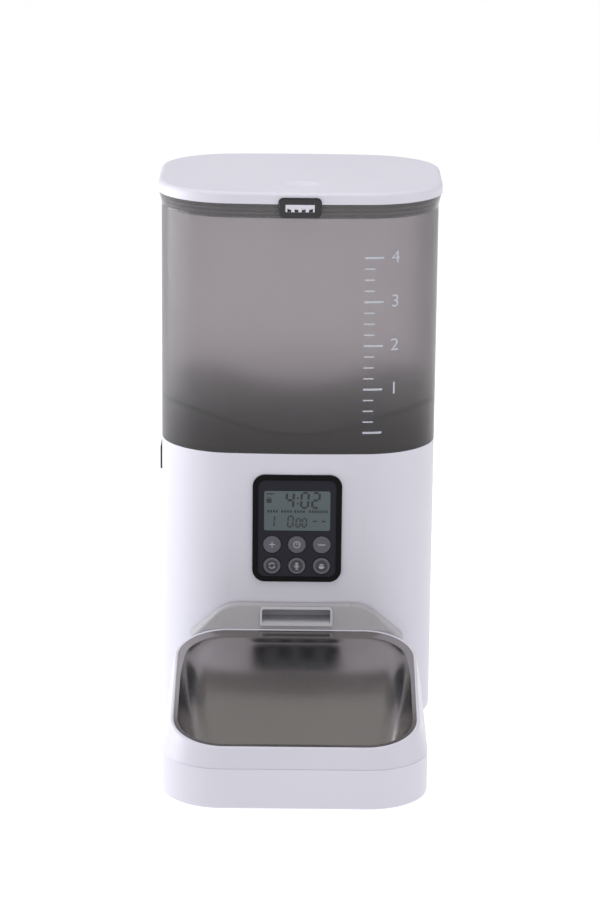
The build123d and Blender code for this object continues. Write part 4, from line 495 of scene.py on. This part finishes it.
clock = bmesh.new()
arc_band(clock, 0, 0, 1.9, 2.4)
bar(clock, 0, 0.65, HAND_LINE, 1.75)
bar(clock, 0.75, 0, 1.05, HAND_LINE)
key_print("set", clock)

minus = bmesh.new()
bar(minus, 0, 0, 4.8, MINUS_LINE)
key_print("minus", minus)

# %% [markdown]
# ## Marks of the bottom row
# The bottom row has a repeat mark of two bent arrows, a microphone and a filled dish. A circle of
# three segments makes an arrow head, turned to point along its arc.

# %% Arrows, microphone and dish
ARROW_SWEEP, ARROW_RADIUS, HEAD = 130, 1.9, 0.85

repeat = bmesh.new()
for start in (20, 200):
    arc_band(repeat, 0, 0, ARROW_RADIUS - 0.25, ARROW_RADIUS + 0.25, start, ARROW_SWEEP, 20)
    tip = radians(start + ARROW_SWEEP)
    end = Matrix.Translation((ARROW_RADIUS * cos(tip), ARROW_RADIUS * sin(tip), 0))
    along = Matrix.Rotation(tip + pi / 2, 4, "Z")
    bmesh.ops.create_circle(repeat, cap_ends=True, segments=3, radius=HEAD, matrix=end @ along)
key_print("mode", repeat)

capsule = bmesh.new()
disc(capsule, 0, 1.3, 1.0)
bar(capsule, 0, 0.65, 2.0, 1.3)
disc(capsule, 0, 0.0, 1.0)
arc_band(capsule, 0, 0.2, 1.45, 1.85, 180, 180, 24)
bar(capsule, 0, -2.1, 0.45, 0.9)
bar(capsule, 0, -2.6, 2.2, 0.45)
key_print("record", capsule)

dish = bmesh.new()
arc_band(dish, 0, 0, 0.02, 2.1, 190, 160, 24)
for x, y in ((-0.9, 0.75), (0.9, 0.75), (0.0, 1.1)):
    disc(dish, x, y, 0.5, 16)
key_print("feed", dish)

# %% [markdown]
# ## Rings of the bottom row
# Each dark key has a lighter ring near its rim, which is print as well. A full spin closes the
# band on itself.

# %% Rings
RING_INNER, RING_OUTER = 4.3, 5.55
for key in ("mode", "record", "feed"):
    rim = bmesh.new()
    arc_band(rim, 0, 0, RING_INNER, RING_OUTER, 0, 360, 64)
    key_print(key, rim, f"ring_{key}", ring_grey)

# %% [markdown]
# ## The curve of the tank's front
# The front of the tank is a wide arc that turns into a tighter corner. A print on it is drawn flat
# first, and each point is then pushed back to the wall. The arc and the corner share a tangent
# where they meet, so the corner's centre lies on the line from the arc's centre to that point.

# %% Where the wall is
FACE_RADIUS, CORNER_RADIUS, HALF_WIDTH = 700 * MM, 51 * MM, 95 * MM
FRONT_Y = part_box("housing")[0].y


def wall_y(x):
    corner_x = HALF_WIDTH - CORNER_RADIUS
    span = FACE_RADIUS - CORNER_RADIUS
    face_y = FRONT_Y + FACE_RADIUS
    if abs(x) <= FACE_RADIUS * corner_x / span:
        return face_y - sqrt(FACE_RADIUS**2 - x**2)
    corner_y = face_y - sqrt(span**2 - corner_x**2)
    return corner_y - sqrt(CORNER_RADIUS**2 - (abs(x) - corner_x) ** 2)


print("wall falls back by", round((wall_y(65 * MM) - FRONT_Y) / MM, 1), "mm at the numbers")

# %% [markdown]
# ## Level scale on the tank
# A see-through tank often has a printed level scale: a long stroke and a number for each litre,
# short strokes between. Each stroke is a chain of short bars, so that it can bend with the wall.
# The numbers start as text objects and are made meshes before they get their place.

# %% Level scale
LITRES, STEPS_PER_LITRE, STEP = 4, 4, 7.6
SCALE_X, SCALE_Z, NUMBER_X, NUMBER_SIZE = 44.0, 214.0, 65.0, 12.0
LONG_STROKE, SHORT_STROKE = (13.0, 1.5), (7.0, 1.0)
LINKS, LONGEST_EDGE = 6, 3


def number_mesh(value):
    text = bpy.data.curves.new("litre", "FONT")
    text.body = str(value)
    text.size = NUMBER_SIZE
    text.align_x = "CENTER"
    text.align_y = "CENTER"
    holder = bpy.data.objects.new("litre", text)
    flat = bpy.data.meshes.new_from_object(holder)
    bpy.data.objects.remove(holder)
    return flat


def level_scale():
    bm = bmesh.new()
    for step in range(LITRES * STEPS_PER_LITRE + 1):
        wide, tall = SHORT_STROKE if step % STEPS_PER_LITRE else LONG_STROKE
        link = wide / LINKS
        for part in range(LINKS):
            bar(bm, SCALE_X + (part + 0.5) * link, SCALE_Z + step * STEP, link, tall)
    for litre in range(1, LITRES + 1):
        flat = number_mesh(litre)
        flat.transform(Matrix.Translation((NUMBER_X, SCALE_Z + litre * STEPS_PER_LITRE * STEP, 0)))
        bm.from_mesh(flat)
    long_edges = [e for e in bm.edges if e.calc_length() > LONGEST_EDGE]
    bmesh.ops.subdivide_edges(bm, edges=long_edges, cuts=2)
    bmesh.ops.triangulate(bm, faces=bm.faces)
    piece = print_piece("level_scale", bm, Vector((0, 0, 0)), scale_print, "tank",
                        SCALE_INK)
    for point in piece.data.vertices:
        point.co.y += wall_y(point.co.x)


level_scale()

# %% [markdown]
# ## Studio floor and surroundings
# The photograph has a white sweep with no horizon. A large pale plane that glows a little comes
# out just as white, and its light also fills the shadows under the tray. The world around gives
# a dim even light from everywhere else, which the steel mirrors as grey.

# %% Floor and world
FLOOR_HALF = 20
FLOOR_GLOW, WORLD_LIGHT = 0.79, 0.44

floor_finish, floor_tree, floor_shader, floor_place = new_finish("studio_floor")
floor_noise = noise(floor_tree, floor_place, 0.8)
floor_tones = tones(floor_tree, floor_noise, (0.44, 0.44, 0.44), (0.46, 0.46, 0.46))
floor_tree.links.new(floor_tones, floor_shader.inputs["Base Color"])
floor_shader.inputs["Roughness"].default_value = 0.9
floor_shader.inputs["Specular IOR Level"].default_value = 0.1
floor_shader.inputs["Emission Color"].default_value = (1, 1, 1, 1)
floor_shader.inputs["Emission Strength"].default_value = FLOOR_GLOW
floor_mesh = bpy.data.meshes.new("floor")
sweep = bmesh.new()
bmesh.ops.create_grid(sweep, x_segments=1, y_segments=1, size=FLOOR_HALF)
sweep.to_mesh(floor_mesh)
sweep.free()
floor_mesh.materials.append(floor_finish)
floor = bpy.data.objects.new("floor", floor_mesh)
bpy.context.scene.collection.objects.link(floor)

world = bpy.data.worlds.new("studio")
bpy.context.scene.world = world
world.use_nodes = True
sky = world.node_tree.nodes["Background"]
sky.inputs["Color"].default_value = (1.0, 1.0, 1.0, 1)
sky.inputs["Strength"].default_value = WORLD_LIGHT
print("floor glow:", FLOOR_GLOW, "world:", WORLD_LIGHT)

# %% [markdown]
# ## Lights
# In the photograph a strong light from the left burns out that side, and a weak one comes from the
# right. Both are large soft boxes at the height of the feeder. A third one overhead lights the lid
# and the tray. The bowl would mirror it as one bright patch, which the photograph doesn't show, so
# it is kept out of reflections.

# %% Three soft boxes
def soft_light(name, spot, aim, size, power, tint=(1, 1, 1)):
    lamp = bpy.data.lights.new(name, "AREA")
    lamp.shape = "RECTANGLE"
    lamp.size, lamp.size_y = size
    lamp.energy = power
    lamp.color = tint
    holder = bpy.data.objects.new(name, lamp)
    holder.location = spot
    holder.rotation_euler = (Vector(aim) - Vector(spot)).to_track_quat("-Z", "Y").to_euler()
    bpy.context.scene.collection.objects.link(holder)
    print(name, "watts:", power)
    return holder


MIDDLE = (0, 0.05, 0.2)
soft_light("left_bank", (-1.1, 0.25, 0.36), MIDDLE, (1.1, 0.7), 8, (0.95, 0.97, 1.0))
soft_light("right_bank", (1.5, -0.5, 0.6), MIDDLE, (0.8, 1.2), 1.6)
overhead = soft_light("top_bank", (0.0, -0.1, 1.6), (0, 0, 0.2), (1.2, 1.2), 12)
overhead.visible_glossy = False

# %% [markdown]
# ## Camera
# The lens and its place were worked out from the photograph: a long lens about two metres away,
# above the lid, looking down by fifteen degrees and turned by half a degree. The Standard view
# transform keeps white plastic white.

# %% Camera
LENS_MM, SENSOR_MM = 123.03, 36.0
CAMERA_SPOT = Vector((1.5, -2032.71, 750.48)) * MM
LOOK_DOWN, ROLL = 0.2641, 0.0099

lens = bpy.data.cameras.new("photo_camera")
lens.sensor_fit = "VERTICAL"
lens.sensor_height = SENSOR_MM
lens.lens = LENS_MM
lens.clip_end = 100
camera = bpy.data.objects.new("photo_camera", lens)
camera.location = CAMERA_SPOT
look = Matrix.Rotation(radians(90) - LOOK_DOWN, 4, "X")
camera.rotation_euler = (look @ Matrix.Rotation(ROLL, 4, "Z")).to_euler()
bpy.context.scene.collection.objects.link(camera)
bpy.context.scene.camera = camera
bpy.context.scene.view_settings.view_transform = "Standard"
print("camera at", tuple(round(c, 3) for c in camera.location))

# %% [markdown]
# ## End of the scene
# The prints must not make the feeder bigger than its engineering model.

# %% End of the scene
print("scene built")
